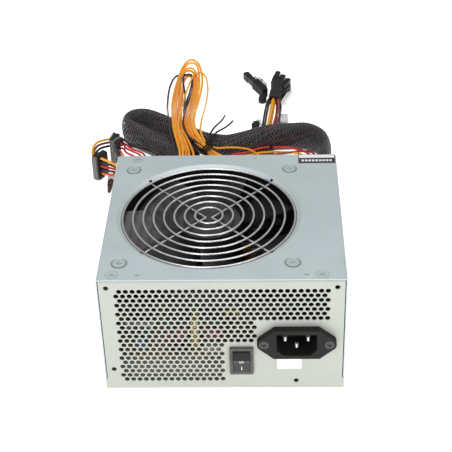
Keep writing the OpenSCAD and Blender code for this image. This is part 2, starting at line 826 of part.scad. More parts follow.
// Multi-way plug: x across the ways, y from the wire side at 0 to the mating side
module plug_body(ways_x, ways_z, pitch, length) {
    w = ways_x * pitch + 1.2;
    h = ways_z * pitch + 1.2;
    difference() {
        translate([-w / 2, 0, 0]) cube([w, length, h]);
        for (x = [0 : ways_x - 1], z = [0 : ways_z - 1])
            translate([(x - (ways_x - 1) / 2) * pitch, length - 6, (z + 0.5) * pitch + 0.6])
                rotate([-90, 0, 0]) translate([-1.4, -1.4, 0]) cube([2.8, 2.8, 10]);
    }
    translate([-2.5, length * 0.25, h - 0.1]) cube([5, length * 0.7, 2]);
}

module main_connector() {
    color(clear_white) translate([61.5, 234, 3]) rotate(-132) plug_body(12, 2, 4.2, 18);
}

module processor_connector() {
    color(black_plastic) translate([118, 246, 0.2]) rotate(180) plug_body(4, 2, 4.2, 18);
}

module twist_tie() {
    knot = [56, 266, 19.5];
    color(black_plastic) {
        translate(knot) rotate([70, 0, 40]) rotate_extrude() translate([6.2, 0]) circle(d = 1.6, $fn = 16);
        tube(smooth([[59, 275, 25], [61, 286, 23.5], [64, 300, 19.5], [67, 323, 12]], 3), 1.6, 8);
        tube(smooth([[63, 275, 23], [66, 284, 21.5], [70, 297, 18], [74, 314, 12]], 3), 1.6, 8);
    }
}

module loop_cable() {
    color(wire_yellow) tube(smooth(loop_route, 2), loop_d, 8);
}

module drive_cable() {
    color(wire_red) tube(smooth(drive_route, 3), 5, 8);
    color(wire_yellow) tube(smooth(drive_link, 3), 4, 8);
}

module drive_connectors() {
    color(grey_plastic) translate([-34.5, 240, 0.2]) rotate(-35) block([-2.2, 0, 0.8], [2.2, 1.6, 23.2]);
    color(black_plastic) {
        translate([-34.5, 240, 0.2]) rotate(-35) block([-3, 1.5, 0], [3, 16, 24]);
        translate([-22.5, 266, 0.2]) rotate(-13) block([-3, 0, 0], [3, 15, 22]);
    }
}

module small_plug() {
    color(clear_white) block([-24, 236, 0.1], [-18.5, 242, 6]);
    color([0.2, 0.13, 0.11]) translate([-21.3, 236.2, 3.1]) rotate([90, 0, 0]) cylinder(r1 = 2.9, r2 = 1.2, h = 15);
}

module peripheral_cable() {
    color(wire_yellow) tube(smooth(peripheral_route, 3), 4.6, 8);
}

module lever_plug() {
    color(black_plastic) translate([100, 378, 0.1]) rotate(24) {
        block([-4.5, 0, 0], [1.5, 22, 9.5]);
        block([-4, 21.9, 1.5], [1, 42, 8]);
    }
    color(clear_white) translate([100, 378, 0.1]) rotate(24) block([1.7, 9.5, 0.5], [6, 33, 9]);
}

module fanned_plugs() {
    color(black_plastic) {
        block([102, 366, 0.1], [114, 384, 10]);
        for (k = [0 : 3]) translate([106 + 2 * k, 383, 0.1]) rotate(-2 - 13 * k)
            block([-2.4, 0, 0.2 + 0.1 * k], [2.4, 32 - 4 * k, 9]);
    }
}

module socket_plugs() {
    color(clear_white) difference() {
        block([107.5, 326, 0.1], [127.5, 341, 8.8]);
        for (k = [0 : 3]) translate([110.2 + 4.9 * k, 342, 4.4]) rotate([90, 0, 0]) cylinder(r = 1.7, h = 8);
    }
    color(black_plastic) {
        block([89, 318, 0.1], [97, 330, 6]);
        translate([97, 366, 0.1]) cylinder(r = 4.5, h = 7);
    }
}

// ---------- drawing ----------

case_frame() {
    base_tray();
    rear_panel();
    cable_wall();
    top_cover();
    cover_screws();
    fan_grille();
    fan_screws();
    fan_frame();
    fan_bearing();
    fan_stator();
    fan_circuit_board();
    fan_leads();
    fan_rotor();
    fan_magnet_ring();
    fan_shaft();
    inlet_housing();
    inlet_pins();
    inlet_screws();
    switch_bezel();
    switch_rocker();
    switch_terminals();
    mains_leads();
    earth_lead();
    voltage_label();
    badge_label();
    circuit_board();
    board_standoffs();
    board_screws();
    insulating_sheet();
    fan_header();
    filter_core();
    filter_windings();
    x_capacitor();
    y_capacitors();
    fuse();
    bridge_rectifier();
    bulk_capacitors();
    primary_heatsink();
    secondary_heatsink();
    power_transistors();
    transformer_core();
    transformer_winding();
    standby_transformer();
    control_board();
    output_choke();
    output_capacitors();
    output_leads();
    cable_grommet();
    main_cable();
    main_connector();
    twist_tie();
    loop_cable();
    processor_connector();
    drive_cable();
    drive_connectors();
    small_plug();
    peripheral_cable();
    lever_plug();
    fanned_plugs();
    socket_plugs();
}
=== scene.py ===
"""Looks of a desktop power supply unit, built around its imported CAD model."""

import math

import bmesh
import bpy
import numpy as np
from mathutils import Matrix, Quaternion, Vector


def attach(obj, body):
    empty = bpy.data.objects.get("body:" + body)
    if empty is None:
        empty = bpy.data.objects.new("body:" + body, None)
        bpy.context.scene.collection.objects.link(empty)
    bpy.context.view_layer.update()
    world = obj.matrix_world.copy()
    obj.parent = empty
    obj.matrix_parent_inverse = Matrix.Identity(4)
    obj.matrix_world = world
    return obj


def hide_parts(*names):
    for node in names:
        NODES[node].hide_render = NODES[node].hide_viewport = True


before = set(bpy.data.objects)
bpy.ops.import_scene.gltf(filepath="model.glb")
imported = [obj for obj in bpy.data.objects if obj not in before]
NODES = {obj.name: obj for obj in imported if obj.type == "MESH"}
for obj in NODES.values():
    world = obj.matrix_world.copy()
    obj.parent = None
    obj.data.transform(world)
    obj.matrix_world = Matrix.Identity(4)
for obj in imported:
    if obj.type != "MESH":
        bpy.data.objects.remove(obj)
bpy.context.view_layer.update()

# Lengths below are in millimetres in the case's own frame: x from its left wall, y from the perforated panel,
# z from the surface it stands on. at() turns them into the row frame, in metres.
ORIGIN_X = 75.0
ORIGIN_Y = 68.365
MM = 0.001


def at(x, y, z):
    return Vector(((x - ORIGIN_X) * MM, (y - ORIGIN_Y) * MM, z * MM))


# ---------------------------------------------------------------- camera, light and floor

CAMERA_AT = (102.63, -559.19, 518.47)
CAMERA_LOOK = (-0.034576, 0.817312, -0.575157)
CAMERA_ROLL = -1.836
SENSOR = 36              # its width and the lens are in millimetres
LENS = 95.24

camera = bpy.data.objects.new("camera", bpy.data.cameras.new("camera"))
camera.data.sensor_width = SENSOR
camera.data.lens = LENS
camera.data.clip_start = 0.01
camera.location = at(*CAMERA_AT)
aim = Vector(CAMERA_LOOK).to_track_quat("-Z", "Y") @ Quaternion((0, 0, 1), math.radians(CAMERA_ROLL))
camera.rotation_euler = aim.to_euler()
bpy.context.scene.collection.objects.link(camera)
bpy.context.scene.camera = camera

bpy.context.scene.view_settings.view_transform = "Standard"
bpy.context.scene.view_settings.look = "None"


def area_light(name, place, target, size, power):
    data = bpy.data.lights.new(name, "AREA")
    data.shape = "DISK"
    data.size = size
    data.energy = power
    lamp = bpy.data.objects.new(name, data)
    lamp.location = place
    lamp.rotation_euler = (Vector(target) - Vector(place)).to_track_quat("-Z", "Y").to_euler()
    bpy.context.scene.collection.objects.link(lamp)


area_light("key", (-0.3, -1.15, 0.75), (0, 0, 0.05), 0.7, 5.45)
area_light("fill", (0.75, -0.85, 0.45), (0, 0, 0.05), 0.7, 2.55)
area_light("overhead", (0.0, 0.25, 1.2), (0, 0, 0), 0.9, 5.4)

world = bpy.data.worlds.new("studio")
world.use_nodes = True
sky = world.node_tree.nodes["Background"].inputs
sky["Color"].default_value = (1.0, 1.0, 1.0, 1.0)
sky["Strength"].default_value = 0.5
bpy.context.scene.world = world


# ---------------------------------------------------------------- materials

class Nodes:
    """A material's node tree, with short calls for the few nodes that the materials use."""

    def __init__(self, name):
        self.material = bpy.data.materials.new(name)
        self.material.use_nodes = True
        self.tree = self.material.node_tree
        self.shader = self.tree.nodes["Principled BSDF"]
        self.place = self.add("ShaderNodeTexCoord").outputs["Object"]

    def add(self, kind, **settings):
        node = self.tree.nodes.new(kind)
        for key, value in settings.items():
            setattr(node, key, value)
        return node

    def link(self, source, target):
        self.tree.links.new(source, target)

    def noise(self, scale, detail=3.0, stretch=None):
        node = self.add("ShaderNodeTexNoise")
        node.inputs["Scale"].default_value = scale
        node.inputs["Detail"].default_value = detail
        node.inputs["Roughness"].default_value = 0.55
        place = self.place
        if stretch is not None:
            mapping = self.add("ShaderNodeMapping")
            mapping.inputs["Scale"].default_value = stretch
            self.link(place, mapping.inputs["Vector"])
            place = mapping.outputs["Vector"]
        self.link(place, node.inputs["Vector"])
        return node.outputs["Fac"]

    def bands(self, scale, direction="Z", distort=0.6):
        node = self.add("ShaderNodeTexWave", bands_direction=direction)
        node.inputs["Scale"].default_value = scale
        node.inputs["Distortion"].default_value = distort
        node.inputs["Detail Scale"].default_value = 2.0
        self.link(self.place, node.inputs["Vector"])
        return node.outputs["Fac"]

    def ramp(self, source, stops):
        node = self.add("ShaderNodeValToRGB")
        ends = node.color_ramp.elements
        while len(ends) < len(stops):
            ends.new(0.5)
        for end, (place, colour) in zip(ends, stops):
            end.position = place
            end.color = (*colour, 1.0)
        self.link(source, node.inputs["Fac"])
        return node.outputs["Color"]

    def span(self, source, low, high, start=0.3, stop=0.7):
        node = self.add("ShaderNodeMapRange")
        node.inputs["From Min"].default_value = start
        node.inputs["From Max"].default_value = stop
        node.inputs["To Min"].default_value = low
        node.inputs["To Max"].default_value = high
        self.link(source, node.inputs["Value"])
        return node.outputs["Result"]

    def mix(self, source, a, b):
        """Colour a where source is 0 and b where it is 1."""
        node = self.add("ShaderNodeMix", data_type="RGBA")
        self.link(source, node.inputs["Factor"])
        for socket, value in ((node.inputs[6], a), (node.inputs[7], b)):
            if isinstance(value, tuple):
                socket.default_value = (*value, 1.0)
            else:
                self.link(value, socket)
        return node.outputs[2]

    def bump(self, *layers):
        """Layers are (height, strength, distance in mm), the coarsest first."""
        normal = None
        for height, strength, distance in layers:
            node = self.add("ShaderNodeBump")
            node.inputs["Strength"].default_value = strength
            node.inputs["Distance"].default_value = distance * MM
            self.link(height, node.inputs["Height"])
            if normal is not None:
                self.link(normal, node.inputs["Normal"])
            normal = node.outputs["Normal"]
        self.link(normal, self.shader.inputs["Normal"])

    def set(self, **values):
        for key, value in values.items():
            socket = self.shader.inputs[key.replace("_", " ")]
            if hasattr(value, "links"):
                self.link(value, socket)
            elif isinstance(value, tuple):
                socket.default_value = (*value, 1.0)
            else:
                socket.default_value = value
        return self.material


def shade(colour, factor):
    return tuple(min(1.0, c * factor) for c in colour)


def plated_steel(name, colour, rough, metal):
    """Zinc-plated sheet with cloudy spangle, rolling lines and faint handling marks."""
    m = Nodes(name)
    cloud = m.noise(38, 4.0)
    spangle = m.noise(420, 2.0)
    rolled = m.noise(60, 3.0, stretch=(1.0, 26.0, 26.0))
    base = m.ramp(cloud, [(0.3, shade(colour, 0.965)), (0.7, shade(colour, 1.03))])
    tint = m.mix(m.span(spangle, 0.0, 0.35), base, shade(colour, 0.93))
    m.bump((rolled, 0.06, 0.05), (spangle, 0.05, 0.03))
    return m.set(Base_Color=tint, Metallic=metal, Roughness=m.span(cloud, rough - 0.05, rough + 0.06))


def bright_metal(name, colour, rough):
    """Bare or plated metal with drawing marks and uneven polish."""
    m = Nodes(name)
    wear = m.noise(180, 4.0)
    drawn = m.noise(900, 2.0, stretch=(0.15, 1.0, 1.0))
    m.bump((drawn, 0.1, 0.02))
    return m.set(Base_Color=m.ramp(wear, [(0.3, shade(colour, 0.88)), (0.65, colour)]), Metallic=1.0,
                 Roughness=m.span(wear, rough, rough + 0.14))


def moulded(name, colour, rough, grain=1500, strength=0.12, shine=0.5):
    """Moulded plastic: fine spark-eroded grain, slight flow clouding."""
    m = Nodes(name)
    cloud = m.noise(55, 3.0)
    fine = m.noise(grain, 2.0)
    m.bump((fine, strength, 0.05))
    return m.set(Base_Color=m.ramp(cloud, [(0.3, shade(colour, 0.86)), (0.7, shade(colour, 1.1))]),
                 Roughness=m.span(fine, rough - 0.06, rough + 0.1), Specular_IOR_Level=shine)


def insulation(name, colour, rough=0.34):
    """Drawn PVC insulation: a soft sheen, slight unevenness along the wire and dusty scuffs."""
    m = Nodes(name)
    scuff = m.noise(140, 4.0)
    fine = m.noise(900, 2.0)
    m.bump((fine, 0.06, 0.04))
    tint = m.ramp(scuff, [(0.25, shade(colour, 0.84)), (0.6, colour), (0.9, shade(colour, 1.06))])
    return m.set(Base_Color=tint, Roughness=m.span(scuff, rough - 0.06, rough + 0.14), Coat_Weight=0.12,
                 Coat_Roughness=0.3)


def translucent(name, colour, rough):
    """Milky nylon of the clear plugs."""
    m = Nodes(name)
    cloud = m.noise(120, 3.0)
    m.bump((m.noise(1300, 2.0), 0.08, 0.05))
    return m.set(Base_Color=m.ramp(cloud, [(0.3, shade(colour, 0.9)), (0.7, colour)]), Roughness=rough,
                 Transmission_Weight=0.35, IOR=1.5)


def band_scale(pitch):
    """Scale at which the bands come about that many millimetres apart."""
    return 1000 / pitch / 6.28 * 2


def wound(name, colour, pitch, direction="Z"):
    """Enamelled wire laid turn by turn, darkened in the grooves between turns as painted shade."""
    m = Nodes(name)
    turns = m.bands(band_scale(pitch), direction, 0.3)
    m.bump((turns, 0.9, 0.35))
    # Painted shade: the colour falls to under half in the grooves between turns, on the same bands that make
    # the bump's valleys.
    tint = m.mix(turns, shade(colour, 0.45), colour)
    return m.set(Base_Color=tint, Metallic=0.6, Roughness=m.span(m.noise(300), 0.22, 0.36))


def banded_windings(name):
    """Red enamelled windings with the yellow tape that holds the core between them; the wire is darkened in
    the grooves between turns as painted shade.
    """
    m = Nodes(name)
    turns = m.bands(band_scale(0.9), "Z", 0.3)
    parts = m.add("ShaderNodeSeparateXYZ")
    m.link(m.place, parts.inputs[0])
    off_centre = m.add("ShaderNodeMath", operation="ABSOLUTE")
    shift = m.add("ShaderNodeMath", operation="ADD")
    shift.inputs[1].default_value = (ORIGIN_X - 56) * MM
    m.link(parts.outputs["X"], shift.inputs[0])
    m.link(shift.outputs[0], off_centre.inputs[0])
    outside = m.span(off_centre.outputs[0], 0.0, 1.0, 0.0034, 0.0036)
    # Painted shade: the wire is about three times darker in the grooves between turns than on their crowns.
    wire_tint_with_painted_shade = m.mix(turns, (0.14, 0.035, 0.025), (0.42, 0.11, 0.08))
    tint = m.mix(outside, m.mix(m.noise(200), (0.62, 0.4, 0.05), (0.74, 0.5, 0.08)), wire_tint_with_painted_shade)
    m.bump((turns, 0.7, 0.3))
    return m.set(Base_Color=tint, Roughness=m.span(m.noise(300), 0.3, 0.42))


def board(name):
    """Phenolic board with its resin mottling and faint fibre."""
    m = Nodes(name)
    resin = m.noise(90, 5.0)
    fibre = m.noise(500, 3.0, stretch=(1.0, 9.0, 1.0))
    base = m.ramp(resin, [(0.3, (0.24, 0.15, 0.065)), (0.7, (0.33, 0.215, 0.1))])
    tint = m.mix(m.span(fibre, 0.0, 0.5), base, (0.38, 0.27, 0.14))
    m.bump((fibre, 0.2, 0.05))
    return m.set(Base_Color=tint, Roughness=0.48)


def paper(name, colour):
    """Label stock: fibres and a slight yellowing."""
    m = Nodes(name)
    fibre = m.noise(1400, 4.0)
    age = m.noise(45, 2.0)
    m.bump((fibre, 0.15, 0.03))
    base = m.ramp(age, [(0.3, shade(colour, 0.96)), (0.7, colour)])
    tint = m.mix(m.span(fibre, 0.0, 0.4), base, shade(colour, 0.9))
    return m.set(Base_Color=tint, Roughness=0.6)


# Painted light: the top cover and the panel are the same plated sheet steel. The top's bluish tint stands for
# the cooler light on the upward faces, and the panel's creamier grey stands for the warmer light on the
# front-facing faces.
STEEL_TOP_COOL_LIGHT = plated_steel("steel_top_painted_cool_light", (0.49, 0.555, 0.57), 0.46, 0.35)
STEEL_PANEL_WARM_LIGHT = plated_steel("steel_panel_painted_warm_light", (0.45, 0.47, 0.425), 0.46, 0.2)
BRIGHT = bright_metal("bright_wire", (0.66, 0.66, 0.66), 0.2)
# Painted shade: the inlet pins' bright plating is darkened to a dull grey, so they stay dim. Only the painted
# highlight strips on their ends shine.
PIN_METAL_PAINTED_SHADE = bright_metal("pin_metal_painted_shade", (0.16, 0.16, 0.16), 0.3)
# Painted light: the screws carry the top cover's bluish tint, which stands for the cool light on upward
# faces.
SCREW = plated_steel("screw_plating_painted_cool_light", (0.5, 0.57, 0.58), 0.34, 0.5)
# Painted highlight: near-white metal for the glint strips on the inlet pins.
PAINTED_HIGHLIGHT_METAL = bright_metal("painted_highlight_metal", (0.95, 0.95, 0.95), 0.3)
DARK_SCREW = bright_metal("dark_screw", (0.09, 0.09, 0.09), 0.4)
ALUMINIUM = bright_metal("aluminium", (0.8, 0.81, 0.83), 0.34)
BRASS = bright_metal("brass", (0.78, 0.57, 0.26), 0.28)
FAN_BLACK = moulded("fan_black", (0.024, 0.024, 0.026), 0.34, shine=0.5)
FRAME_BLACK = moulded("frame_black", (0.012, 0.012, 0.013), 0.42, shine=0.25)
BEZEL_GREY = moulded("bezel_grey", (0.09, 0.089, 0.081), 0.5, shine=0.3)
INLET_GREY = moulded("inlet_grey", (0.02, 0.0197, 0.018), 0.55, shine=0.1)
ROCKER_BLACK = moulded("rocker_black", (0.03, 0.03, 0.031), 0.4, shine=0.4)
PLUG_BLACK = moulded("plug_black", (0.011, 0.011, 0.012), 0.4, 1100, 0.16, 0.22)
PLUG_GREY = moulded("plug_grey", (0.17, 0.17, 0.155), 0.5)
RUBBER = moulded("rubber", (0.01, 0.01, 0.011), 0.6, 900, 0.2, 0.2)
CLEAR = translucent("clear_nylon", (0.86, 0.86, 0.84), 0.35)
WHITE_MARK = moulded("white_mark", (0.85, 0.85, 0.83), 0.5)
BROWN = moulded("brown_cap", (0.05, 0.022, 0.016), 0.4)
COPPER = wound("copper_winding", (0.62, 0.17, 0.07), 0.9)
CHOKE = wound("choke_winding", (0.66, 0.36, 0.1), 1.3, "X")
BOARD = board("board")
WINDINGS = banded_windings("filter_windings")
GREEN_BOARD = moulded("green_board", (0.02, 0.12, 0.05), 0.4)
FERRITE = moulded("ferrite", (0.035, 0.033, 0.032), 0.6, 800, 0.3)
TAPE = moulded("yellow_tape", (0.85, 0.56, 0.08), 0.35, 500, 0.2)
BLUE_DISC = moulded("blue_disc", (0.05, 0.13, 0.24), 0.34)
CAN_SLEEVE = moulded("can_sleeve", (0.014, 0.02, 0.05), 0.28)
GREEN_SLEEVE = moulded("green_sleeve", (0.01, 0.06, 0.04), 0.28)
GREY_BOX = moulded("grey_box", (0.45, 0.45, 0.43), 0.5)
LABEL = paper("label_paper", (0.88, 0.87, 0.83))
BADGE = moulded("badge_black", (0.03, 0.032, 0.034), 0.4)
BADGE_LIGHT = paper("badge_light", (0.78, 0.8, 0.8))
FILM = moulded("insulating_film", (0.75, 0.75, 0.7), 0.3)

YELLOW = insulation("wire_yellow", (0.93, 0.4, 0.012))
# Painted shade: a darker, more orange copy of the same yellow insulation, for yellow wires in the shaded gaps
# and undersides of the bundles.
YELLOW_PAINTED_SHADE = insulation("wire_yellow_painted_shade", (0.86, 0.3, 0.012))
RED = insulation("wire_red", (0.62, 0.028, 0.035))
# Painted shade: a darkened copy of the red insulation, for red wires lying in shadow inside the sleeve and
# behind the hump of slack wires.
RED_PAINTED_SHADE = insulation("wire_red_painted_shade", (0.3, 0.03, 0.03))
ORANGE = insulation("wire_orange", (0.86, 0.15, 0.03))
BLACK = insulation("wire_black", (0.012, 0.0125, 0.014))
GREY = insulation("wire_grey", (0.11, 0.115, 0.13))
GREEN = insulation("wire_green", (0.03, 0.22, 0.07))
BLUE = insulation("wire_blue", (0.03, 0.1, 0.35))
BROWN_WIRE = insulation("wire_brown", (0.2, 0.05, 0.03))
BRAID = insulation("braid_filament", (0.062, 0.06, 0.064), 0.28)


def floor_material():
    m = Nodes("floor")
    m.bump((m.noise(30, 2.0), 0.02, 0.1))
    tint = m.ramp(m.noise(4, 2.0), [(0.3, (0.9, 0.9, 0.9)), (0.7, (0.92, 0.92, 0.92))])
    return m.set(Base_Color=tint, Roughness=0.7, Emission_Color=(1.0, 1.0, 1.0), Emission_Strength=0.8)


def mesh_object(name, points, faces, material):
    mesh = bpy.data.meshes.new(name)
    mesh.from_pydata([tuple(p) for p in points], [], faces)
    mesh.validate()
    made = bpy.data.objects.new(name, mesh)
    made.data.materials.append(material)
    bpy.context.scene.collection.objects.link(made)
    return made


FLOOR_HALF = 6.0         # in metres, as FLOOR_Z is
FLOOR_Z = -0.0002
corner = [(x * FLOOR_HALF, y * FLOOR_HALF, FLOOR_Z) for x, y in ((-1, -1), (1, -1), (1, 1), (-1, 1))]
mesh_object("floor", corner, [(0, 1, 2, 3)], floor_material())


# ---------------------------------------------------------------- paths and tubes

def smooth_path(points, steps):
    """The route's points with steps between each two, on the same curve as the CAD's."""
    p = [Vector(v) for v in points]
    out = []
    for i in range(len(p) - 1):
        a, b, c, d = p[max(i - 1, 0)], p[i], p[i + 1], p[min(i + 2, len(p) - 1)]
        for k in range(steps):
            t = k / steps
            out.append(b + t * ((c - a) / 2 + t * (a - 2.5 * b + 2 * c - 0.5 * d
                                                   + t * (1.5 * b - 1.5 * c + 0.5 * d - 0.5 * a))))
    return out + [p[-1]]


def around(angle, side, up):
    """The unit vector at that angle from side towards up."""
    return math.cos(angle) * side + math.sin(angle) * up


def skin_faces(rings, sides):
    """Faces between the rings of a tube, and one over each end."""
    faces = []
    for low in range(0, (rings - 1) * sides, sides):
        for k in range(sides):
            following = (k + 1) % sides
            faces.append((low + k, low + following, low + sides + following, low + sides + k))
    return faces + [tuple(reversed(range(sides))), tuple(range((rings - 1) * sides, rings * sides))]


def pose(place, turn):
    """Matrix of something standing at place, turned about its upright axis by that many degrees."""
    return Matrix.Translation(Vector(place)) @ Matrix.Rotation(math.radians(turn), 4, "Z")


def frames(path):
    """Along, side and up at each point, turned as little as possible from one to the next."""
    out = []
    side = None
    for i in range(len(path)):
        along = (path[min(i + 1, len(path) - 1)] - path[max(i - 1, 0)]).normalized()
        if side is None:
            side = along.cross(Vector((0, 0, 1))).normalized()
        side = (side - along * side.dot(along)).normalized()
        out.append((along, side, along.cross(side)))
    return out


class Part:
    """Collects shapes with their materials into one mesh object. Shapes are in millimetres in part.frame."""

    def __init__(self, name, place=(0, 0, 0), turn=0.0):
        self.name = name
        self.points, self.faces, self.slots, self.rounded, self.materials = [], [], [], [], []
        self.frame = pose(place, turn)

    def slot_of(self, material):
        if material not in self.materials:
            self.materials.append(material)
        return self.materials.index(material)

    def add(self, points, faces, material, rounded=False):
        start = len(self.points)
        self.points += [at(*(self.frame @ Vector(p))) for p in points]
        self.faces += [tuple(i + start for i in f) for f in faces]
        self.slots += [self.slot_of(material)] * len(faces)
        self.rounded += [rounded] * len(faces)

    def box(self, low, high, material, bevel=0.3, segments=2):
        """Block with rounded edges."""
        mesh = bmesh.new()
        low, high = Vector(low), Vector(high)
        place = Matrix.Translation((low + high) / 2) @ Matrix.Diagonal((*(high - low), 1.0))
        bmesh.ops.create_cube(mesh, size=1.0, matrix=place)
        size = min(high - low)
        bmesh.ops.bevel(mesh, geom=mesh.edges[:], offset=min(bevel, size * 0.3), segments=segments,
                        profile=0.5, affect="EDGES")
        mesh.verts.index_update()
        points = [v.co.copy() for v in mesh.verts]
        self.add(points, [tuple(v.index for v in f.verts) for f in mesh.faces], material)
        mesh.free()

    def rod(self, start, end, r, material, r_end=None, sides=24, bevel=0.2):
        """Round bar or cone from start to end, with softened ends."""
        start, end = Vector(start), Vector(end)
        r_end = r if r_end is None else r_end
        along = (end - start).normalized()
        side = along.orthogonal().normalized()
        up = along.cross(side)
        bevel = min(bevel, r * 0.4, (end - start).length * 0.3)
        rings = [(start, r - bevel), (start + along * bevel, r), (end - along * bevel, r_end),
                 (end, r_end - bevel)]
        points = [c + q * around(2 * math.pi * k / sides, side, up) for c, q in rings for k in range(sides)]
        self.add(points, skin_faces(len(rings), sides), material, True)

    def tube(self, path, r, material, sides=10):
        """Round tube along path, points in the part's frame."""
        path = [Vector(p) for p in path]
        points = []
        for p, (_, side, up) in zip(path, frames(path)):
            points += [p + r * around(2 * math.pi * k / sides, side, up) for k in range(sides)]
        self.add(points, skin_faces(len(path), sides), material, True)

    def make(self, body="case", replaces=(), slot=None):
        mesh = bpy.data.meshes.new(self.name)
        mesh.from_pydata([tuple(p) for p in self.points], [], self.faces)
        for m in self.materials:
            mesh.materials.append(m)
        mesh.polygons.foreach_set("material_index", self.slots)
        mesh.polygons.foreach_set("use_smooth", self.rounded)
        mesh.update()
        made = bpy.data.objects.new(self.name, mesh)
        bpy.context.scene.collection.objects.link(made)
        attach(made, body)
        if replaces:
            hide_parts(*replaces)
        return made


WIRE_STEPS = 6


def wire(name, route, r, material):
    """One insulated wire as a round curve through the route."""
    path = [at(*p) for p in smooth_path(route, WIRE_STEPS)]
    data = bpy.data.curves.new(name, "CURVE")
    data.dimensions = "3D"
    data.bevel_depth = r * MM
    data.bevel_resolution = 3
    data.use_fill_caps = True
    spline = data.splines.new("POLY")
    spline.points.add(len(path) - 1)
    for point, p in zip(spline.points, path):
        point.co = (*p, 1.0)
    spline.use_smooth = True
    data.materials.append(material)
    made = bpy.data.objects.new(name, data)
    bpy.context.scene.collection.objects.link(made)
    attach(made, "case")
    return made


# ---------------------------------------------------------------- plugs

def multiway_plug(name, place, turn, ways, pitch, length, material, node):
    """Moulded housing of separate square cells: wires enter at y = 0, pins at the other end."""
    part = Part(name, place, turn)
    across, high = ways
    half = across * pitch / 2
    part.box((-half - 0.4, 0, 0.2), (half + 0.4, length * 0.62, high * pitch + 1.0), material, 0.35)
    wall = 0.62
    for i in range(across):
        for j in range(high):
            x, z = -half + i * pitch, 0.6 + j * pitch
            low, top = (x + 0.12, z + 0.12), (x + pitch - 0.12, z + pitch - 0.12)
            start, end = length * 0.6, length
            part.box((low[0], start, low[1]), (low[0] + wall, end, top[1]), material, 0.15)
            part.box((top[0] - wall, start, low[1]), (top[0], end, top[1]), material, 0.15)
            part.box((low[0], start, low[1]), (top[0], end, low[1] + wall), material, 0.15)
            part.box((low[0], start, top[1] - wall), (top[0], end, top[1]), material, 0.15)
            middle = (x + pitch / 2, z + pitch / 2)
            part.rod((middle[0], 0.2, middle[1]), (middle[0], -0.7, middle[1]), 1.35, material)
    latch = high * pitch + 1.0
    part.box((-2.4, length * 0.22, latch - 0.1), (2.4, length * 0.5, latch + 1.6), material, 0.3)
    part.box((-2.0, length * 0.3, latch + 0.7), (2.0, length * 0.97, latch + 1.5), material, 0.3)
    part.box((-2.2, length * 0.88, latch - 0.2), (2.2, length * 0.99, latch + 1.5), material, 0.3)
    return part.make(replaces=[node], slot="white_plastic" if material is CLEAR else "dark_plastic")


def way(place, turn, ways, pitch, i, j, back=0.0):
    """The point that far behind way i, j of a multiway plug, where its wire runs."""
    local = Vector(((i - (ways[0] - 1) / 2) * pitch, -back, (j + 0.5) * pitch + 0.6))
    return Vector(place) + Matrix.Rotation(math.radians(turn), 3, "Z") @ local


MAIN_PLUG = ((61.5, 234, 3), -132, (12, 2), 4.2)
PROCESSOR_PLUG = ((118, 246, 0.2), 180, (4, 2), 4.2)
main_plug = multiway_plug("main_plug", *MAIN_PLUG, 18, CLEAR, "main_connector")
processor_plug = multiway_plug("processor_plug", *PROCESSOR_PLUG, 18, PLUG_BLACK, "processor_connector")


def drive_plug(part, z):
    """Flat drive plug standing on its end: pressed-on wire cap, ribs, key and the narrow contact face."""
    part.box((-2.9, 2.2, z), (2.9, 8.6, z + 22), PLUG_BLACK, 0.5)
    part.box((-2.3, 8.2, z + 0.6), (2.3, 14.2, z + 21.4), PLUG_BLACK, 0.4)
    part.box((-1.0, 13.8, z + 2.2), (1.4, 15.6, z + 19.6), PLUG_BLACK, 0.3)
    part.box((-2.1, 0.3, z + 0.7), (2.1, 2.5, z + 21.3), PLUG_GREY, 0.3)
    for k in range(5):
        part.box((2.5, 3.6, z + 2.2 + 4.0 * k), (3.6, 7.6, z + 4.6 + 4.0 * k), PLUG_BLACK, 0.35)
        part.box((-3.3, 3.2, z + 2.5 + 4.0 * k), (-2.6, 8.0, z + 4.3 + 4.0 * k), PLUG_BLACK, 0.25)
    for row in range(9):
        for x in (-1.0, 0.9):
            height = z + 1.9 + row * 2.3
            part.rod((x, 0.5, height), (x, 0.1, height), 0.42, PLUG_BLACK, sides=8, bevel=0.05)


FIRST_PLUG = pose((-34.5, 240, 0), -35)
SECOND_PLUG = pose((-22.5, 266, 0), -13)
LIFTED = Matrix.Translation((0, 0, 0.2))
drive_plugs = Part("drive_plugs")
drive_plugs.frame = LIFTED @ FIRST_PLUG
drive_plug(drive_plugs, 1.0)
drive_plugs.frame = LIFTED @ SECOND_PLUG
drive_plug(drive_plugs, 0.0)
# Painted highlight: a grey strip on the top-left edge of the second black plug stands for light caught on
# that edge.
drive_plugs.box((-3.1, 3.0, 21.2), (-1.7, 14.0, 22.6), PLUG_GREY, 0.25)
drive_plugs = drive_plugs.make(replaces=["drive_connectors"], slot="dark_plastic")

small = Part("small_plug_shell", (-21.3, 236, 0.1))
small.box((-2.8, 0.2, 0.1), (2.8, 6.0, 5.9), CLEAR, 0.7, 3)
for level in (1.4, 2.9, 4.4):
    small.box((-3.0, 1.2, level - 0.35), (3.0, 1.9, level + 0.35), CLEAR, 0.15)
small.rod((0, 0.5, 3), (0, -6, 3), 2.75, BROWN, 2.5, 28, 0.5)
small.rod((0, -5.8, 3), (0, -15.5, 3), 2.3, BROWN, 1.3, 28, 0.5)
small_plug = small.make(replaces=["small_plug"], slot="dark_plastic")

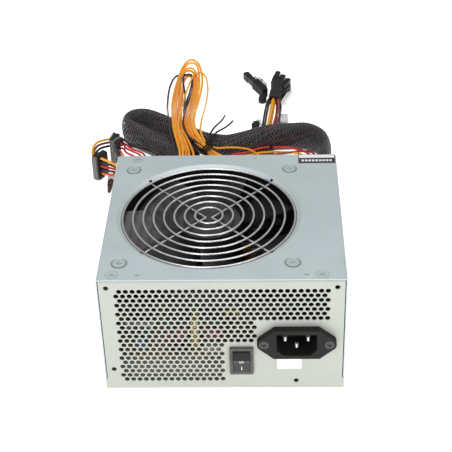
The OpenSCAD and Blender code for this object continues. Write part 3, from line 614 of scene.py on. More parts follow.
lever = Part("lever_plug_body", (102.9, 375.2, 0.1), 27)
lever.box((-4.4, 0, 0.2), (1.4, 20.5, 9.2), PLUG_BLACK, 0.8, 3)
lever.box((-3.9, 20, 1.5), (0.9, 31, 7.9), PLUG_BLACK, 0.6)
lever.box((-4.3, 30, 1.0), (1.3, 38.8, 8.2), PLUG_BLACK, 0.9, 3)
for k in range(6):
    lever.box((-4.8, 2.2 + 3.1 * k, 1.2), (1.8, 3.6 + 3.1 * k, 9.5), PLUG_BLACK, 0.3)
lever.rod((-1.5, 38.4, 4.6), (-1.5, 39.3, 4.6), 1.5, PLUG_GREY)
lever.box((2.0, 10, 0.5), (5.6, 24, 8.4), CLEAR, 0.8, 3)
lever.box((2.2, 23.5, 1.2), (4.8, 30, 7.0), CLEAR, 0.8, 3)
lever.rod((4.0, 17, 8.0), (4.0, 17, 9.0), 1.0, PLUG_BLACK)
lever_plug = lever.make(replaces=["lever_plug"], slot="dark_plastic")

# Each finger is its root x and y, turn, reach and half width.
FINGERS = [(108.8, 388, -13, 21.5, 2.3), (112.8, 387, -20, 16.5, 2.2), (116.2, 381, -25, 16, 2.1),
           (114.2, 366, -29, 19.6, 1.3)]
fanned = Part("fanned_plug_bodies", (109.5, 361, 0.1), -7)
fanned.box((-5.0, 0, 0.3), (5.2, 14, 9.6), PLUG_BLACK, 1.6, 4)
fanned.box((-4.8, 12, 0.4), (5.0, 31, 9.2), PLUG_BLACK, 1.4, 4)
for x, y, turned, reach, width in FINGERS:
    fanned.frame = pose((x, y, 0.1), turned)
    fanned.box((-width, 0, 0.6), (width, reach * 0.76, 8.6), PLUG_BLACK, 0.7, 3)
    fanned.box((-width - 0.1, reach * 0.7, 0.9), (width + 0.1, reach - 0.2, 8.9), PLUG_BLACK, 0.8, 3)
    for rib in range(3):
        along = reach * (0.26 + 0.15 * rib)
        fanned.box((-width - 0.25, along, 1.4), (width + 0.25, along + 1.2, 9.0), PLUG_BLACK, 0.25)
    fanned.box((-width + 0.8, reach - 0.9, 2.6), (width - 0.8, reach + 0.1, 6.9), PLUG_GREY, 0.2)
fanned.frame = pose((116.2, 360.5, 0.2), -19)
fanned.box((-0.4, 0, 0.3), (3.4, 16, 5.6), CLEAR, 0.9, 3)
fanned.box((0.2, 15.5, 1.0), (2.8, 21, 4.8), CLEAR, 0.6, 3)
fanned_plugs = fanned.make(replaces=["fanned_plugs"], slot="dark_plastic")

socket = Part("socket_plug_bodies")
socket.box((112.2, 319.4, 0.2), (121, 332, 8.6), CLEAR, 0.9, 3)
for x in (114.4, 118.8):
    socket.rod((x, 331, 4.4), (x, 334.4, 4.4), 1.9, CLEAR)
    socket.rod((x, 319.8, 4.4), (x, 314.4, 4.4), 1.4, BLACK)
socket.box((112.8, 315.5, 0.4), (120, 320, 6.4), GREEN_SLEEVE, 0.8)
socket.box((90.2, 315.8, 0.2), (96.2, 322, 5.8), PLUG_BLACK, 0.8, 3)
socket.box((91.2, 321.4, 0.4), (96.4, 326.6, 5.0), PLUG_BLACK, 0.7, 3)
socket.box((93.6, 324.8, 0.4), (98, 330, 4.6), CLEAR, 0.7, 3)
for k in range(3):
    socket.box((89.9, 316.7 + 1.8 * k, 0.9), (96.5, 317.6 + 1.8 * k, 6.0), PLUG_BLACK, 0.2)
knob = Vector((99.2, 366.4, 0))
socket.rod(knob + Vector((0, 0, 0.2)), knob + Vector((0, 0, 6.4)), 3.4, PLUG_BLACK, 3.0, 28, 0.7)
for k in range(8):
    out = around(math.radians(45 * k + 10), Vector((1, 0, 0)), Vector((0, 1, 0)))
    foot, top = knob + 3.1 * out + Vector((0, 0, 0.6)), knob + 2.8 * out + Vector((0, 0, 6.0))
    socket.rod(foot, top, 0.7, PLUG_BLACK, sides=8)
socket_plugs = socket.make(replaces=["socket_plugs"], slot="white_plastic")


# ---------------------------------------------------------------- main cable: braided sleeve over its wires

# Each point is x, y, z and the sleeve's half height there. The sleeve lies round, but stands on edge in its
# two bends.
MAIN_ROUTE = [
    (40.5, 134, 25.8, 8.6), (40.5, 146, 25.6, 8.6), (43, 158, 21, 8.6), (52, 171, 13.5, 8.8),
    (67, 180, 9.8, 9.2), (88, 187, 9.5, 9.2), (110, 198, 9.5, 9.2), (130, 214, 10, 9.6), (143, 234, 11.4, 11),
    (149, 254, 12.8, 12.4), (149.4, 268, 12.8, 12.4), (145, 279, 12.8, 12.4), (135, 285.5, 13.4, 12.4),
    (121, 283.5, 14.6, 12), (104, 279.5, 15.8, 11.4), (86, 277, 12.6, 10.4), (70, 276.5, 10, 9.4),
    (52, 282, 9.6, 9.2), (38, 292, 9.6, 9.2), (26, 301, 9.8, 9.4), (14, 307.5, 11.8, 11.4),
    (2, 312.5, 12.8, 12.4), (-8, 311.5, 12.8, 12.4), (-13.4, 304, 12.8, 12.4), (-11, 295.5, 12.8, 12.4),
    (-3, 289, 12.4, 12), (6, 283.5, 11, 10.6), (15, 277.5, 9.8, 9.4), (25, 270.5, 9.5, 9.2),
    (35, 262, 9.5, 9.2), (46, 250, 9.5, 9.2), (57, 238, 9.2, 8.8)
]
SLEEVE_R = 9.3           # where it lies round
BRAID_STRANDS = 16       # ribbons in each of the two directions
BRAID_PITCH = 44.0       # length in which a ribbon goes round once
BRAID_STEP = BRAID_PITCH / (2 * BRAID_STRANDS)
RIBBON_W = 1.15
RIBBON_T = 0.22
WEAVE = 0.16             # how far a ribbon rises and dips where it crosses
SLEEVE_START = 4.0       # along the route: inside the grommet
SLEEVE_STOP = 22.0       # before the route's end, where the wires fan out to the plug


def sleeve_stations(step):
    """Evenly spaced (point, along, side, up, half width, half height) between the sleeve's two ends."""
    route = np.array(MAIN_ROUTE)
    fine = np.array([tuple(p) for p in smooth_path([Vector(p[:3]) for p in MAIN_ROUTE], 12)])
    tall = np.interp(np.linspace(0, len(route) - 1, len(fine)), np.arange(len(route)), route[:, 3])
    travelled = np.concatenate([[0], np.cumsum(np.linalg.norm(np.diff(fine, axis=0), axis=1))])
    places = np.arange(SLEEVE_START, travelled[-1] - SLEEVE_STOP, step)
    points = np.stack([np.interp(places, travelled, fine[:, k]) for k in range(3)], axis=1)
    high = np.interp(places, travelled, tall)
    wide = np.minimum(high, np.sqrt(2 * SLEEVE_R ** 2 - high ** 2))
    along = np.gradient(points, axis=0)
    along /= np.linalg.norm(along, axis=1)[:, None]
    side = np.cross(along, (0, 0, 1))
    side /= np.linalg.norm(side, axis=1)[:, None]
    return points, along, side, np.cross(side, along), wide, high


def oval(stations, angle, grow=0.0):
    """Points at that angle round the sleeve's oval, and the outward directions there."""
    points, _, side, up, wide, high = stations
    cos, sin = np.cos(angle)[:, None], np.sin(angle)[:, None]
    out = cos / wide[:, None] * side + sin / high[:, None] * up
    out /= np.linalg.norm(out, axis=1)[:, None]
    return points + wide[:, None] * cos * side + high[:, None] * sin * up + grow * out, out


def braid(part, material):
    """Two families of flat ribbons wound in opposite directions, each over one and under one of the other."""
    stations = sleeve_stations(BRAID_STEP)
    count = len(stations[0])
    crossing = np.arange(count)
    rise = WEAVE * np.where(crossing % 2 == 0, 1.0, -1.0)[:, None]
    for hand in (1, -1):
        for k in range(BRAID_STRANDS):
            angle = 2 * math.pi * (k / BRAID_STRANDS + hand * crossing * BRAID_STEP / BRAID_PITCH)
            centre, out = oval(stations, angle)
            centre = centre + hand * rise * out
            direction = np.gradient(centre, axis=0)
            across = np.cross(direction, out)
            across /= np.linalg.norm(across, axis=1)[:, None]
            corners = [centre + RIBBON_W / 2 * across, centre + RIBBON_T * out,
                       centre - RIBBON_W / 2 * across, centre - RIBBON_T * out]
            points = np.stack(corners, axis=1).reshape(-1, 3)
            part.add(points, skin_faces(count, len(corners)), material, True)


def oval_tube(part, stations, grow, material, sides=28):
    """Skin at that distance outside the sleeve's oval."""
    turns = [np.full(len(stations[0]), 2 * math.pi * k / sides) for k in range(sides)]
    points = np.stack([oval(stations, turn, grow)[0] for turn in turns], axis=1).reshape(-1, 3)
    part.add(points, skin_faces(len(stations[0]), sides), material, True)


def part_of(stations, start, stop):
    return [values[start:stop] for values in stations]


sleeve_part = Part("main_sleeve")
braid(sleeve_part, BRAID)
sleeve = sleeve_part.make(replaces=["main_cable"], slot="sleeve")

CORE_COLOURS = [RED_PAINTED_SHADE, BLACK, BROWN_WIRE, BLACK, RED_PAINTED_SHADE, BLACK, GREY, BROWN_WIRE, BLACK, RED_PAINTED_SHADE, BLACK,
                GREEN, BROWN_WIRE, BLACK, RED_PAINTED_SHADE, BLACK, BROWN_WIRE, BLACK]
CORE_STEP = 4.0
CORE_TURN = 230.0        # the wires in the sleeve go round once in this length
CORE_DEPTH = 1.35        # their centres lie this far inside the sleeve
core = Part("main_sleeve_wires")
core_stations = sleeve_stations(CORE_STEP)
steps_along = np.arange(len(core_stations[0]))
for k, colour in enumerate(CORE_COLOURS):
    wander = 0.16 * np.sin(0.5 * steps_along + 2.1 * k)
    angle = 2 * math.pi * (k / len(CORE_COLOURS) + CORE_STEP * steps_along / CORE_TURN) + wander
    core.tube(oval(core_stations, angle, -CORE_DEPTH)[0], 1.12, colour, 8)
oval_tube(core, core_stations, -2.2, RUBBER, 16)
main_core = core.make(slot="wire_jacket")

ends = sleeve_stations(1.5)
collars = Part("main_sleeve_collars")
oval_tube(collars, part_of(ends, 0, 10), 0.5, RUBBER)
oval_tube(collars, part_of(ends, -7, None), 0.45, RUBBER)
main_collars = collars.make(slot="dark_plastic")

FAN_COLOURS = [YELLOW, YELLOW, BLACK, RED, BLACK, RED, BLACK, GREY, BLUE, YELLOW, ORANGE, ORANGE]
fan_out = Part("main_plug_wires")
mouth = Vector(ends[0][-1])
mouth_dir = Vector(ends[1][-1])
for i in range(12):
    for j in range(2):
        end = way(*MAIN_PLUG, i, j)
        before = way(*MAIN_PLUG, i, j, 6.0)
        across = Vector((mouth_dir.y, -mouth_dir.x, 0)) * ((i - 5.5) * 1.2)
        rise = (j - 0.5) * 2.6 * math.cos((i - 5.5) * 0.26)
        start = mouth - mouth_dir * 3 - across + Vector((0, 0, rise))
        route = [start, start + mouth_dir * 6, (start + mouth_dir * 6).lerp(before, 0.55), before, end]
        fan_out.tube(smooth_path(route, 4), 1.0, FAN_COLOURS[(i * 5 + j * 3) % 12], 8)
main_wires = fan_out.make(slot="wire_jacket")

sleeve_line = [at(*p) for p in sleeve_stations(6.0)[0]]


# ---------------------------------------------------------------- twist tie

TIE_AT = Vector((54.2, 262.8, 16.4))
TIE_TURNS = 3.6
TIE_LENGTH = 6.8
TIE_R = 5.1
TIE_STEPS = 59
tie = Part("twist_tie_wire")
tie_along = Vector((0.72, -0.34, -0.6)).normalized()
tie_side = tie_along.cross(Vector((0, 0, 1))).normalized()
tie_up = tie_side.cross(tie_along)
coil = []
for i in range(TIE_STEPS + 1):
    a = 2 * math.pi * TIE_TURNS * i / TIE_STEPS + 1.9
    coil.append(TIE_AT + tie_along * (i / TIE_STEPS - 0.5) * TIE_LENGTH + TIE_R * around(a, tie_side, tie_up))
tie.tube(coil, 0.75, PLUG_BLACK, 8)
TIE_ENDS = [
    [(54.6, 266, 21), (56.4, 270.6, 22.8), (58.2, 278, 23.8), (60.8, 287, 22.8), (63.8, 298, 19.8),
     (66.2, 311, 16), (67.4, 323, 12.4)],
    [(55.6, 265, 20.6), (58.2, 270.4, 22), (62.2, 279, 22), (66.8, 289, 19.2), (70.8, 301, 15.4),
     (74.3, 313.6, 12.2)],
]
for end in TIE_ENDS:
    tie.tube(smooth_path(end, 6), 0.85, PLUG_BLACK, 8)
tie.rod((54.4, 264.6, 19.4), (57.6, 269.6, 22.6), 1.6, PLUG_BLACK, 1.2)
twist_tie = tie.make(replaces=["twist_tie"], slot="dark_plastic")


# ---------------------------------------------------------------- loop of processor wires

PACKING = [(0, 0), (2, 0), (-2, 0), (1, 1.75), (-1, 1.75), (1, -1.75), (-1, -1.75), (3, 1.75)]
WAY_OF = [(2, 0), (0, 0), (3, 1), (1, 1), (2, 1), (1, 0), (3, 0), (0, 1)]


def packed(points, slot, axis):
    """The trunk's points at this wire's place in the bundle: axis 0 for a run along y, 1 along x."""
    across, up = PACKING[slot]
    return [(x + across, y, z + up) if axis == 0 else (x, y + across, z + up) for x, y, z in points]


LOOP_START = [(31.5, 138, 35.8), (31.5, 146, 35.5), (32, 162, 30), (34, 180, 17), (36, 198, 6.5),
              (38, 216, 6)]
LOOP_RISE = [(37, 230, 11.5, 0.4), (30.4, 243, 19.8, 1.0)]    # x, y, z and share of the wire's spread
LOOP_SPREAD = [0.0, 2.4, 4.0, 6.2, 10.6, 8.4, 14.2, 6.0]
LOOP_KNOT = [(53.5, 264, 16.6), (59.5, 261.5, 12)]
LOOP_END = [(66, 260.5, 8.4), (73, 260, 5.6), (82, 260, 4.9), (92, 260.5, 5.2), (102, 261.5, 5.6)]
LEANING_END = [(62.4, 264, 16.1), (71.3, 266.4, 14.9), (80.2, 267.2, 14.1), (89.1, 268, 11.6), (96, 266, 7.6),
               (102, 263, 6.5)]
LEANING_SLOT = 7         # this wire of the loop comes back along the sleeve's front, the others on the floor
LOOPS = [
    (BLACK, 0.95, [
        (29.4, 252, 21), (26.4, 267, 21.8), (23, 288, 22), (21.6, 302, 22), (20, 315, 18.4), (16.8, 345, 6),
        (15.4, 366, 1.4), (15.2, 386, 1.2), (16.6, 403, 1.2), (19.6, 414, 1.2), (25, 418.6, 1.2),
        (30.5, 416.6, 1.2), (34, 413, 1.2), (36.2, 405, 1.2), (36.8, 394, 1.2), (35.6, 378, 1.2),
        (33.4, 362, 1.6), (33, 342, 7), (33.4, 320, 15.8), (33.6, 298, 20), (36.4, 281, 21),
        (41.5, 271.5, 20.8), (47, 267.4, 19)]),
    (BLACK, 0.95, [
        (32, 252, 20.2), (30, 267, 20.2), (28, 288, 20.4), (27, 315, 17.4), (27.6, 342, 6.6),
        (29.6, 362, 1.4), (30.2, 377, 1.2), (28.6, 391, 2.6), (27.4, 400, 3.6), (27.2, 407.2, 3.6),
        (28.4, 410.3, 4.2), (31.2, 411.5, 4.9), (34, 410.3, 4.9), (35.2, 407.2, 4.2), (35.4, 400, 2.4),
        (34.8, 393, 1.6), (33.6, 378, 1.6), (31.6, 361, 2.2), (31.6, 340, 8), (33.4, 318, 17),
        (35.8, 298, 20.6), (39.6, 283, 21.4), (44.4, 274, 21), (49, 269.4, 19.4)]),
    (YELLOW, 1.05, [
        (33.4, 252, 21.4), (30.2, 267, 22), (26.2, 288, 22), (23.4, 315, 18.2), (20.8, 345, 6.8),
        (19.8, 367, 2.4), (20.4, 388, 1.4), (21.8, 405, 1.3), (23.3, 420, 1.3), (25.4, 433, 1.3),
        (28.6, 443, 1.3), (32.4, 447, 1.3), (36.6, 444.6, 1.3), (40.6, 436, 1.3), (43.2, 421, 1.3),
        (44.6, 404, 1.3), (44.2, 387, 1.3), (42.9, 368, 1.8), (42.2, 346, 6.4), (42.4, 320, 16),
        (42.6, 300, 20.6), (44.2, 285, 22), (47.2, 275.4, 21.6), (50.2, 269.4, 19.8)]),
    (YELLOW, 1.05, [
        (35.8, 252, 21.4), (32.3, 267, 22.4), (28, 288, 22.6), (25.4, 315, 18.8), (22.8, 345, 7.6),
        (21.9, 367, 3), (22.5, 388, 1.5), (23.8, 405, 1.4), (25.2, 420, 1.4), (27, 430, 1.4),
        (28.5, 435.4, 1.4), (30.6, 439.3, 1.4), (33.4, 440.4, 1.4), (36.2, 439.2, 1.4), (38.2, 435.2, 1.4),
        (39.8, 427.6, 1.4), (41.4, 412, 1.4), (42, 396, 1.4), (41.4, 380, 1.4), (40.8, 364, 2),
        (40.6, 342, 8), (40.8, 320, 16.6), (40.8, 299, 21.6), (42.8, 284, 22.6), (46.2, 273.6, 22),
        (50.6, 267.4, 20)]),
    (YELLOW, 1.05, [
        (40.4, 252, 21), (36.3, 268, 21.6), (30.7, 288, 21.4), (28.7, 315, 17.8), (26.6, 345, 6.4),
        (25.8, 367, 3.2), (25.4, 388, 1.6), (25, 405, 1.5), (25.8, 416, 1.5), (27.4, 424.6, 1.5),
        (29.3, 428.6, 1.5), (32.2, 430.1, 1.5), (35.1, 428.4, 1.5), (37, 424, 1.5), (38.8, 415, 1.5),
        (40.2, 401, 1.5), (40, 384, 1.5), (39, 366, 2), (38.8, 344, 7.2), (39, 320, 16), (38.8, 299, 20.4),
        (41, 284, 21.2), (44.8, 273.6, 20.4), (49.4, 267.6, 18.6)]),
    (YELLOW_PAINTED_SHADE, 1.05, [
        (38.1, 252, 21.6), (34.4, 267.4, 22.8), (29.4, 288, 23.6), (27.2, 315, 20.2), (24.6, 345, 9),
        (23.9, 367, 5), (24, 388, 3.4), (24.2, 404, 2.6), (25.2, 413, 2.4), (27, 419, 2.4), (29, 422, 2.4),
        (31.6, 423, 2.4), (34.2, 421.6, 2.4), (36, 418, 2.4), (37.2, 412.6, 2.4), (38.4, 403, 2.4),
        (38.8, 392, 2.4), (38.2, 376, 2.6), (37.4, 360, 3.4), (37, 338, 10.4), (37.2, 317, 17.6),
        (37.2, 298, 22), (39, 285, 22.8), (42.6, 275, 22), (47.4, 268.4, 19.8)]),
    (YELLOW_PAINTED_SHADE, 1.05, [
        (43.6, 252, 20.6), (38.8, 268.6, 21.4), (32.8, 288, 21.4), (30.8, 315, 18.4), (28.8, 345, 6.6),
        (27.8, 367, 2.4), (27.6, 388, 1.6), (27.6, 400, 1.6), (28.3, 406.6, 1.7), (30, 410.8, 2.2),
        (32.7, 412.4, 2.8), (35.3, 410.6, 2.8), (36.8, 406, 2.5), (37.4, 398, 2), (37.2, 384, 2),
        (36, 368, 2.4), (35.4, 346, 8.4), (35.6, 321, 16.8), (35.4, 299, 20.8), (37.8, 284, 21.4),
        (42, 273.6, 20.4), (47.4, 266.6, 18)]),
    (YELLOW, 0.85, [
        (36.4, 251, 23.6), (33.4, 265, 24.8), (31, 277.5, 25), (30.4, 292, 24.6), (30.6, 314.6, 21.4),
        (30, 342, 10.4), (30, 362, 5.6), (31.6, 380.5, 4.6), (34, 397.7, 4.6), (36.4, 410, 4.4),
        (39.8, 416, 3.8), (43.6, 418.6, 2.6), (46.8, 414.6, 1.2), (49, 404, 1.1), (50.2, 388.6, 1.1),
        (49.8, 368, 1.6), (49.2, 338, 8.6), (49, 312, 17.4), (48.6, 296, 20.8), (48.6, 284, 21.8),
        (50, 274.6, 21.8), (52.4, 268.6, 20.4)]),
]


def into_way(plug, i, j):
    """The last points of a wire: straight in behind its way."""
    return [tuple(way(*plug, i, j, 6.0)), tuple(way(*plug, i, j, 2.0)), tuple(way(*plug, i, j, -0.3))]


for slot, (colour, r, middle) in enumerate(LOOPS):
    i, j = WAY_OF[slot]
    start = packed(LOOP_START, slot, 0)
    spread = LOOP_SPREAD[slot]
    lift = 2.1 if slot == LEANING_SLOT else 0.0
    rise = [(x + share * spread, y, z + lift) for x, y, z, share in LOOP_RISE]
    back = LEANING_END if slot == LEANING_SLOT else packed(LOOP_END, slot, 1)
    last = way(*PROCESSOR_PLUG, i, j, 12.0)
    turn_in = [(last.x - 7, last.y + 3.5, 0.5 * last.z + 2.8), (last.x - 1.6, last.y + 1.2, last.z)]
    knot = packed(LOOP_KNOT[:1] if slot == LEANING_SLOT else LOOP_KNOT, slot, 1)
    route = start + rise + middle + knot + back + turn_in + into_way(PROCESSOR_PLUG, i, j)
    made = wire(f"loop_wire_{slot + 1}", route, r, colour)
    if slot == 0:
        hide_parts("loop_cable")


# ---------------------------------------------------------------- wires to the plugs on the right

SPARE_EXIT = [(0, 0), (1.75, 0), (-1.75, 0), (0.9, 1.55), (-0.9, 1.55), (0.9, -1.55), (-0.9, -1.55),
              (2.65, -1.5), (-2.65, 1.5)]
SPARE_X, SPARE_Z = 42.5, 38.7
SPARE_START = [(SPARE_X, 138, 39), (SPARE_X, 146, 38.6), (46, 160, 33)]
SPARE_FLAT = [(53, 176, 25), (62, 192, 14.5), (75, 208, 6), (88, 222, 1.8), (94.5, 236, 1), (97.4, 250, 1),
              (98.6, 266, 1), (99, 284, 1), (99.6, 298, 1.2)]
SPARE_WIRES = [
    (BLACK, 0.95, -4.6, [
        (97.4, 314, 1.6), (99.4, 325.5, 2.2), (100.8, 340, 3), (102.4, 353, 4), (104.8, 364, 4.8)]),
    (BLACK, 0.95, -2.7, [
        (99.4, 314, 1.7), (101.4, 325.5, 2.4), (102.8, 340, 3.2), (104.4, 353, 4.2), (106.2, 364, 5)]),
    (YELLOW, 1.05, -0.9, [
        (101.9, 314, 1.8), (104, 325.5, 2.2), (105.6, 340, 3), (107, 353, 4), (108, 364, 4.6)]),
    (YELLOW_PAINTED_SHADE, 1.05, 0.9, [
        (104.1, 314, 1.8), (106.1, 325.5, 2.2), (107.8, 340, 3), (109.1, 353, 4), (109.8, 364, 4.6)]),
    (BLACK, 0.95, 2.7, [
        (106.6, 314, 1.6), (108.7, 325.5, 2.2), (110.8, 338, 3), (111.6, 350, 4), (111.7, 364, 5)]),
    (BLACK, 0.95, 4.6, [
        (107.4, 304, 3.4), (111.4, 310.6, 4.2), (112.9, 316.5, 8), (113.6, 325, 9.9), (114.5, 333, 9.8),
        (115.2, 344, 5.6), (114.9, 355, 4.8), (113.4, 364, 5)]),
]
for k, (colour, r, across, end) in enumerate(SPARE_WIRES):
    dx, dz = SPARE_EXIT[k]
    route = [(x + dx, y, z + dz) for x, y, z in SPARE_START]
    for n, (x, y, z) in enumerate(SPARE_FLAT):
        share = min(1.0, n / 3)
        route.append((x + share * across + (1 - share) * dx, y - 0.3 * share * across, z + (1 - share) * dz))
    made = wire(f"spare_wire_{k + 1}", route + end, r, colour)
    if k == 0:
        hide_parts("peripheral_cable")

SLACK_WIRES = [
    (RED, 1.0, [
        (70, 250, 14.6), (73, 258, 11.4), (76.4, 263, 10.6), (83.9, 266.6, 9.6), (90.6, 268.8, 10.4),
        (96.6, 270.8, 11.2), (101, 272, 11.3), (106, 272.4, 11.4), (112, 274.6, 10.1), (118, 277, 8.6),
        (123.3, 276, 8), (129.2, 272.8, 8.2), (134.4, 267.6, 9), (139, 262, 7.6), (139.6, 256, 4)],
     [(107.6, 268, 1), (107.6, 284, 1), (108, 300, 1.2), (109.2, 314, 1.6), (110.8, 325.5, 2.2),
      (112.9, 336, 2.6), (113.4, 346, 4), (112.9, 356, 5.4), (112, 364, 6.2)]),
    (YELLOW, 0.95, [
        (68, 250, 14.6), (71, 258, 10.2), (77, 263.6, 8.8), (86, 265.8, 7.4), (96.5, 268.6, 8.2),
        (104, 270, 8), (110.7, 271.4, 7.4), (120, 271.6, 6.6), (129.2, 267.4, 7.8), (134, 262, 6),
        (135.6, 256, 3)],
     [(105.7, 268, 1), (105.7, 284, 1), (105.4, 302, 2.8), (103.2, 314, 3.7), (105, 325.5, 4.1),
      (106.7, 340, 4.9), (108, 353, 5.9), (109, 364, 6.4)]),
    (RED_PAINTED_SHADE, 0.95, [
        (66, 250, 14.6), (69, 258, 9.6), (80, 264.4, 7.4), (94, 267.4, 6.6), (108, 269.4, 6), (120, 270.4, 7),
        (128, 270.6, 8), (135.2, 268.6, 9.4), (140.4, 263.6, 10.2), (142.6, 257.6, 6), (140.6, 253, 2)],
     [(103.8, 268, 1), (103.8, 284, 1), (103.6, 300, 3), (107.4, 314, 3.6), (109.8, 325.5, 4.1),
      (112, 338, 4.9), (113.2, 350, 5.8), (112.8, 364, 6.8)]),
]
SLACK_START = [(46, 160, 34), (53, 176, 28), (60, 190, 22.6), (64, 205, 18), (66, 222, 16), (68, 238, 16)]
slack_tie = Part("slack_tie")
slack_tie.rod((104.6, 272.3, 11.4), (107.6, 272.9, 11.3), 1.35, RUBBER)
slack_tie = slack_tie.make(slot="dark_plastic")
for k, (colour, r, hump, end) in enumerate(SLACK_WIRES):
    dx, dz = SPARE_EXIT[6 + k]
    route = [(x + dx, y, z + dz) for x, y, z in SPARE_START[:2]]
    route += [(x + 2 * (1 - k), y, z + 0.3 * k) for x, y, z in SLACK_START]
    back = [(132 + 1.5 * k, 252.6 - 1.9 * k, 1), (122, 252.6 - 1.9 * k, 1), (112 - k, 253 - 1.9 * k, 1),
            (108 - 1.9 * k, 258 - 1.9 * k, 1)]
    wire(f"slack_wire_{k + 1}", route + hump + back + end, r, colour)


# ---------------------------------------------------------------- wires to the two drive plugs

DRIVE_EXIT = [(27.2, 25), (27.2, 26.8), (27.2, 28.6), (27.2, 30.4), (27.2, 32.2), (29, 24), (29, 25.8),
              (29, 27.6), (29, 29.4), (29, 31.2), (25.6, 28.6), (30.6, 22.4), (30.4, 20.6), (25.6, 26.8)]
DRIVE_FLOOR = [(-3.6, 1), (-1.8, 1), (-2.7, 2.6), (-0.9, 2.6), (-1.8, 4.2), (0, 1), (1.8, 1), (0.9, 2.6),
               (2.7, 2.6), (0, 4.2), (-4.5, 2.6), (3.6, 1), (5.4, 1), (-5.4, 1)]
DRIVE_TO_FIRST = [(YELLOW, 20.4), (BLACK, 17.2), (RED, 13.6), (BLACK, 10.2), (ORANGE, 6.8)]
DRIVE_TO_SECOND = [
    (GREY, 0.9, [
        (-9, 240, 6), (-13, 250, 9), (-17.4, 256.6, 13.4), (-20.4, 259.6, 17.4), (-21.2, 261.6, 21),
        (-19.6, 264, 24), (-16.6, 267.4, 24.6), (-14.8, 272, 21.6), (-16.2, 275.4, 19),
        (-18.2, 275.8, 18.6)]),
    (BLACK, 0.9, [
        (-7, 240, 6.6), (-10.6, 250, 9.6), (-14.6, 257, 12.6), (-17.4, 260.6, 15.6), (-18.6, 263, 18.8),
        (-17, 266.4, 21.6), (-14.4, 270.4, 21.4), (-13.6, 274.4, 18.4), (-15.4, 276.8, 16),
        (-18, 277, 15.4)]),
    (BLACK, 0.95, [
        (16, 238, 3), (19, 250, 3.4), (17.6, 260, 6), (12.4, 268.4, 8.4), (5.4, 273, 9), (-2, 276.2, 9.6),
        (-9.6, 277.4, 10.6), (-14, 278.2, 12.4), (-17.4, 280, 14.4)]),
    (BLACK, 0.95, [
        (18, 238, 4), (22, 250, 5.4), (20.4, 259.4, 9), (14, 266.6, 11), (6.6, 272.4, 11.6),
        (-2, 275.6, 11.8), (-9, 277.8, 12.4), (-13.6, 279.8, 14.4), (-17.2, 280.6, 16.6)]),
    (RED, 0.85, [
        (6, 240, 7), (4, 254, 10), (0, 262, 11.4), (-5, 265, 12.6), (-9.4, 267.4, 13.2), (-12.6, 271, 13.6),
        (-13.8, 275.6, 13.8), (-15.4, 278.4, 13), (-17.6, 278.4, 12.4)]),
    (RED, 0.85, [
        (8, 240, 8), (6, 254, 11), (3, 262.6, 12), (-2, 266.6, 12.4), (-6.4, 269, 12.8), (-9.6, 272.6, 12.4),
        (-11.6, 277, 11.6), (-14.6, 279.6, 10.6), (-17.4, 279.2, 10)]),
    (RED, 0.85, [
        (5, 240, 5), (2, 253, 8), (-3, 260, 10.4), (-7.6, 263.2, 11), (-11, 266.4, 11), (-13, 270.4, 10.4),
        (-13.8, 274.4, 9.4), (-15.4, 277, 8.7), (-18, 278, 8.2)]),
    (ORANGE, 0.85, [
        (-5, 240, 4.6), (-8, 252, 7.6), (-12.6, 260.4, 10.4), (-15.2, 265.6, 11.6), (-16, 270, 9.6),
        (-16.8, 272.6, 6.4), (-18.6, 273.8, 5.6)]),
]


def drive_start(k):
    """Out of the grommet, down and along the floor in this wire's lane."""
    (x, z), (dx, low) = DRIVE_EXIT[k], DRIVE_FLOOR[k]
    return [(x, 138, z), (x, 146, z - 0.6), (x - 4, 158, 0.7 * z - 0.6), (14 + 0.8 * dx, 173, 8 + low * 0.8),
            (7 + dx, 186, low + 2.2), (1 + dx, 198, low + 0.6), (-3 + dx, 210, low + 0.5)]


for k, (colour, z) in enumerate(DRIVE_TO_FIRST):
    end = FIRST_PLUG @ Vector((2.6, 5.4, z))
    near = FIRST_PLUG @ Vector((6.6, 5.4, z + 0.3))
    rising = [(-9 + 0.5 * k, 228, 3 + 0.3 * z), (-15 + 0.6 * k, 239.4, 0.62 * z + 1.6)]
    route = drive_start(k) + rising + [tuple(near), tuple(end)]
    made = wire(f"drive_wire_{k + 1}", route, 0.95, colour)
    if k == 0:
        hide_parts("drive_cable")
for k, (colour, r, end) in enumerate(DRIVE_TO_SECOND):
    route = drive_start(k + 5) + end
    wire(f"drive_wire_{k + 6}", route, r, colour)
route = drive_start(13) + [(-9, 226, 1), (-12.8, 237, 1.2), (-13.6, 244.2, 1.6), (-14.7, 246.9, 2.2),
                          (-17.4, 248.1, 2.8), (-20.2, 246.9, 3.1), (-21.3, 244.2, 3.1), (-21.3, 241, 3.1)]
wire("small_plug_wire", route, 0.85, BLACK)
for k, (colour, z) in enumerate([(YELLOW, 19.8), (BROWN_WIRE, 16.8), (BLACK, 13.4)]):
    first = [tuple(FIRST_PLUG @ Vector((-2.6 - step, 5.6, z))) for step in (0, 2.6)]
    second = [tuple(SECOND_PLUG @ Vector((-2.6 - step, 7.0, z - 0.6))) for step in (2.8, 0)]
    middle = [(-36.6 + 0.5 * k, 254, z + 0.8), (-36.2 + 0.5 * k, 261, z + 1),
              (-33.6 + 0.5 * k, 268.6, z + 0.4)]
    wire(f"drive_link_{k + 1}", first + middle + second, 1.0, colour)


# ---------------------------------------------------------------- marks on the switch, painted highlights on the inlet pins, and the labels

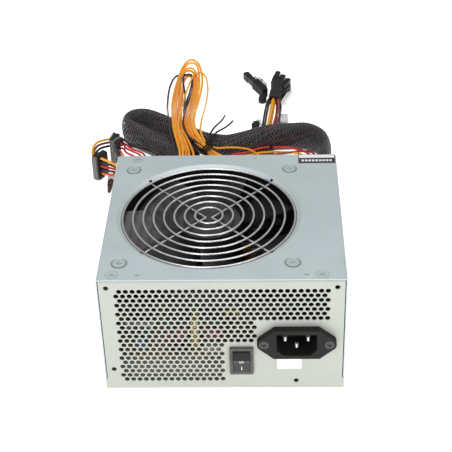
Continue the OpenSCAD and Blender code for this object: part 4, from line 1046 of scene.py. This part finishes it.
VALLEY = Matrix.Translation((86, -2.3, 21.72))      # where the rocker's two faces meet
TILT = math.radians(32)
marks = Part("switch_marks")
marks.frame = VALLEY @ Matrix.Rotation(math.pi / 2 + TILT, 4, "X")
turns = [around(2 * math.pi * k / 32, Vector((1, 0, 0)), Vector((0, 1, 0))) for k in range(33)]
marks.tube([Vector((0, 4.2, 0.02)) + 1.35 * t for t in turns], 0.2, WHITE_MARK, 6)
marks.frame = VALLEY @ Matrix.Rotation(math.pi / 2, 4, "X")
marks.box((-0.22, -5.0, -0.05), (0.22, -2.0, 0.08), WHITE_MARK, 0.04)
marks.make("rocker", slot="white_plastic")

# Painted highlights: thin bright metal strips on the fronts of the three inlet pins, plus a small one on the
# centre pin, stand for glints of light on the pins' ends.
pin_glints = Part("pin_painted_highlights")
for x, z, y in ((113, 40.85, -1.2), (127, 40.85, -1.2), (120, 36.85, -2.6)):
    pin_glints.box((x - 0.3, y - 0.06, z - 1.5), (x + 0.3, y + 0.2, z + 1.5), PAINTED_HIGHLIGHT_METAL, 0.05)
pin_glints.box((119.2, -2.66, 37.9), (120.2, -2.4, 38.4), PAINTED_HIGHLIGHT_METAL, 0.05)
pin_glints.make(slot="bare_steel")

labels = Part("label_bands")
labels.box((124.5, 135.2, 86.05), (148.5, 139.1, 86.22), BADGE_LIGHT, 0.04)
for k in range(9):
    labels.box((126.2 + 2.35 * k, 130.8, 86.05), (127.9 + 2.35 * k, 132.9, 86.22), BADGE_LIGHT, 0.04)
labels.make(slot="label")


# ---------------------------------------------------------------- finishes of the CAD nodes

FINISHES = [
    (STEEL_PANEL_WARM_LIGHT, "base_tray rear_panel cable_wall"),
    (STEEL_TOP_COOL_LIGHT, "top_cover"),
    (BRIGHT, "fan_grille fan_shaft"),
    (PIN_METAL_PAINTED_SHADE, "inlet_pins"),
    (SCREW, "cover_screws fan_screws board_screws board_standoffs"),
    (DARK_SCREW, "inlet_screws"),
    (FAN_BLACK, "fan_rotor"),
    (FRAME_BLACK, "fan_frame fan_header cable_grommet"),
    (FERRITE, "fan_magnet_ring filter_core transformer_core"),
    (BRASS, "fan_bearing switch_terminals"),
    (WINDINGS, "filter_windings"),
    (COPPER, "fan_stator"),
    (CHOKE, "output_choke"),
    (GREEN_BOARD, "fan_circuit_board control_board"),
    (INLET_GREY, "inlet_housing"),
    (BEZEL_GREY, "switch_bezel"),
    (ROCKER_BLACK, "switch_rocker"),
    (LABEL, "voltage_label"),
    (BADGE, "badge_label"),
    (BOARD, "circuit_board"),
    (FILM, "insulating_sheet"),
    (GREY_BOX, "x_capacitor"),
    (BLUE_DISC, "y_capacitors"),
    (CLEAR, "fuse"),
    (PLUG_BLACK, "bridge_rectifier power_transistors"),
    (CAN_SLEEVE, "bulk_capacitors"),
    (GREEN_SLEEVE, "output_capacitors"),
    (ALUMINIUM, "primary_heatsink secondary_heatsink"),
    (TAPE, "transformer_winding standby_transformer"),
    (BLACK, "fan_leads"),
    (BROWN_WIRE, "mains_leads"),
    (GREEN, "earth_lead"),
    (YELLOW, "output_leads"),
]
for finish, names in FINISHES:
    for name in names.split():
        surface = NODES[name].data.materials
        surface.clear()
        surface.append(finish)
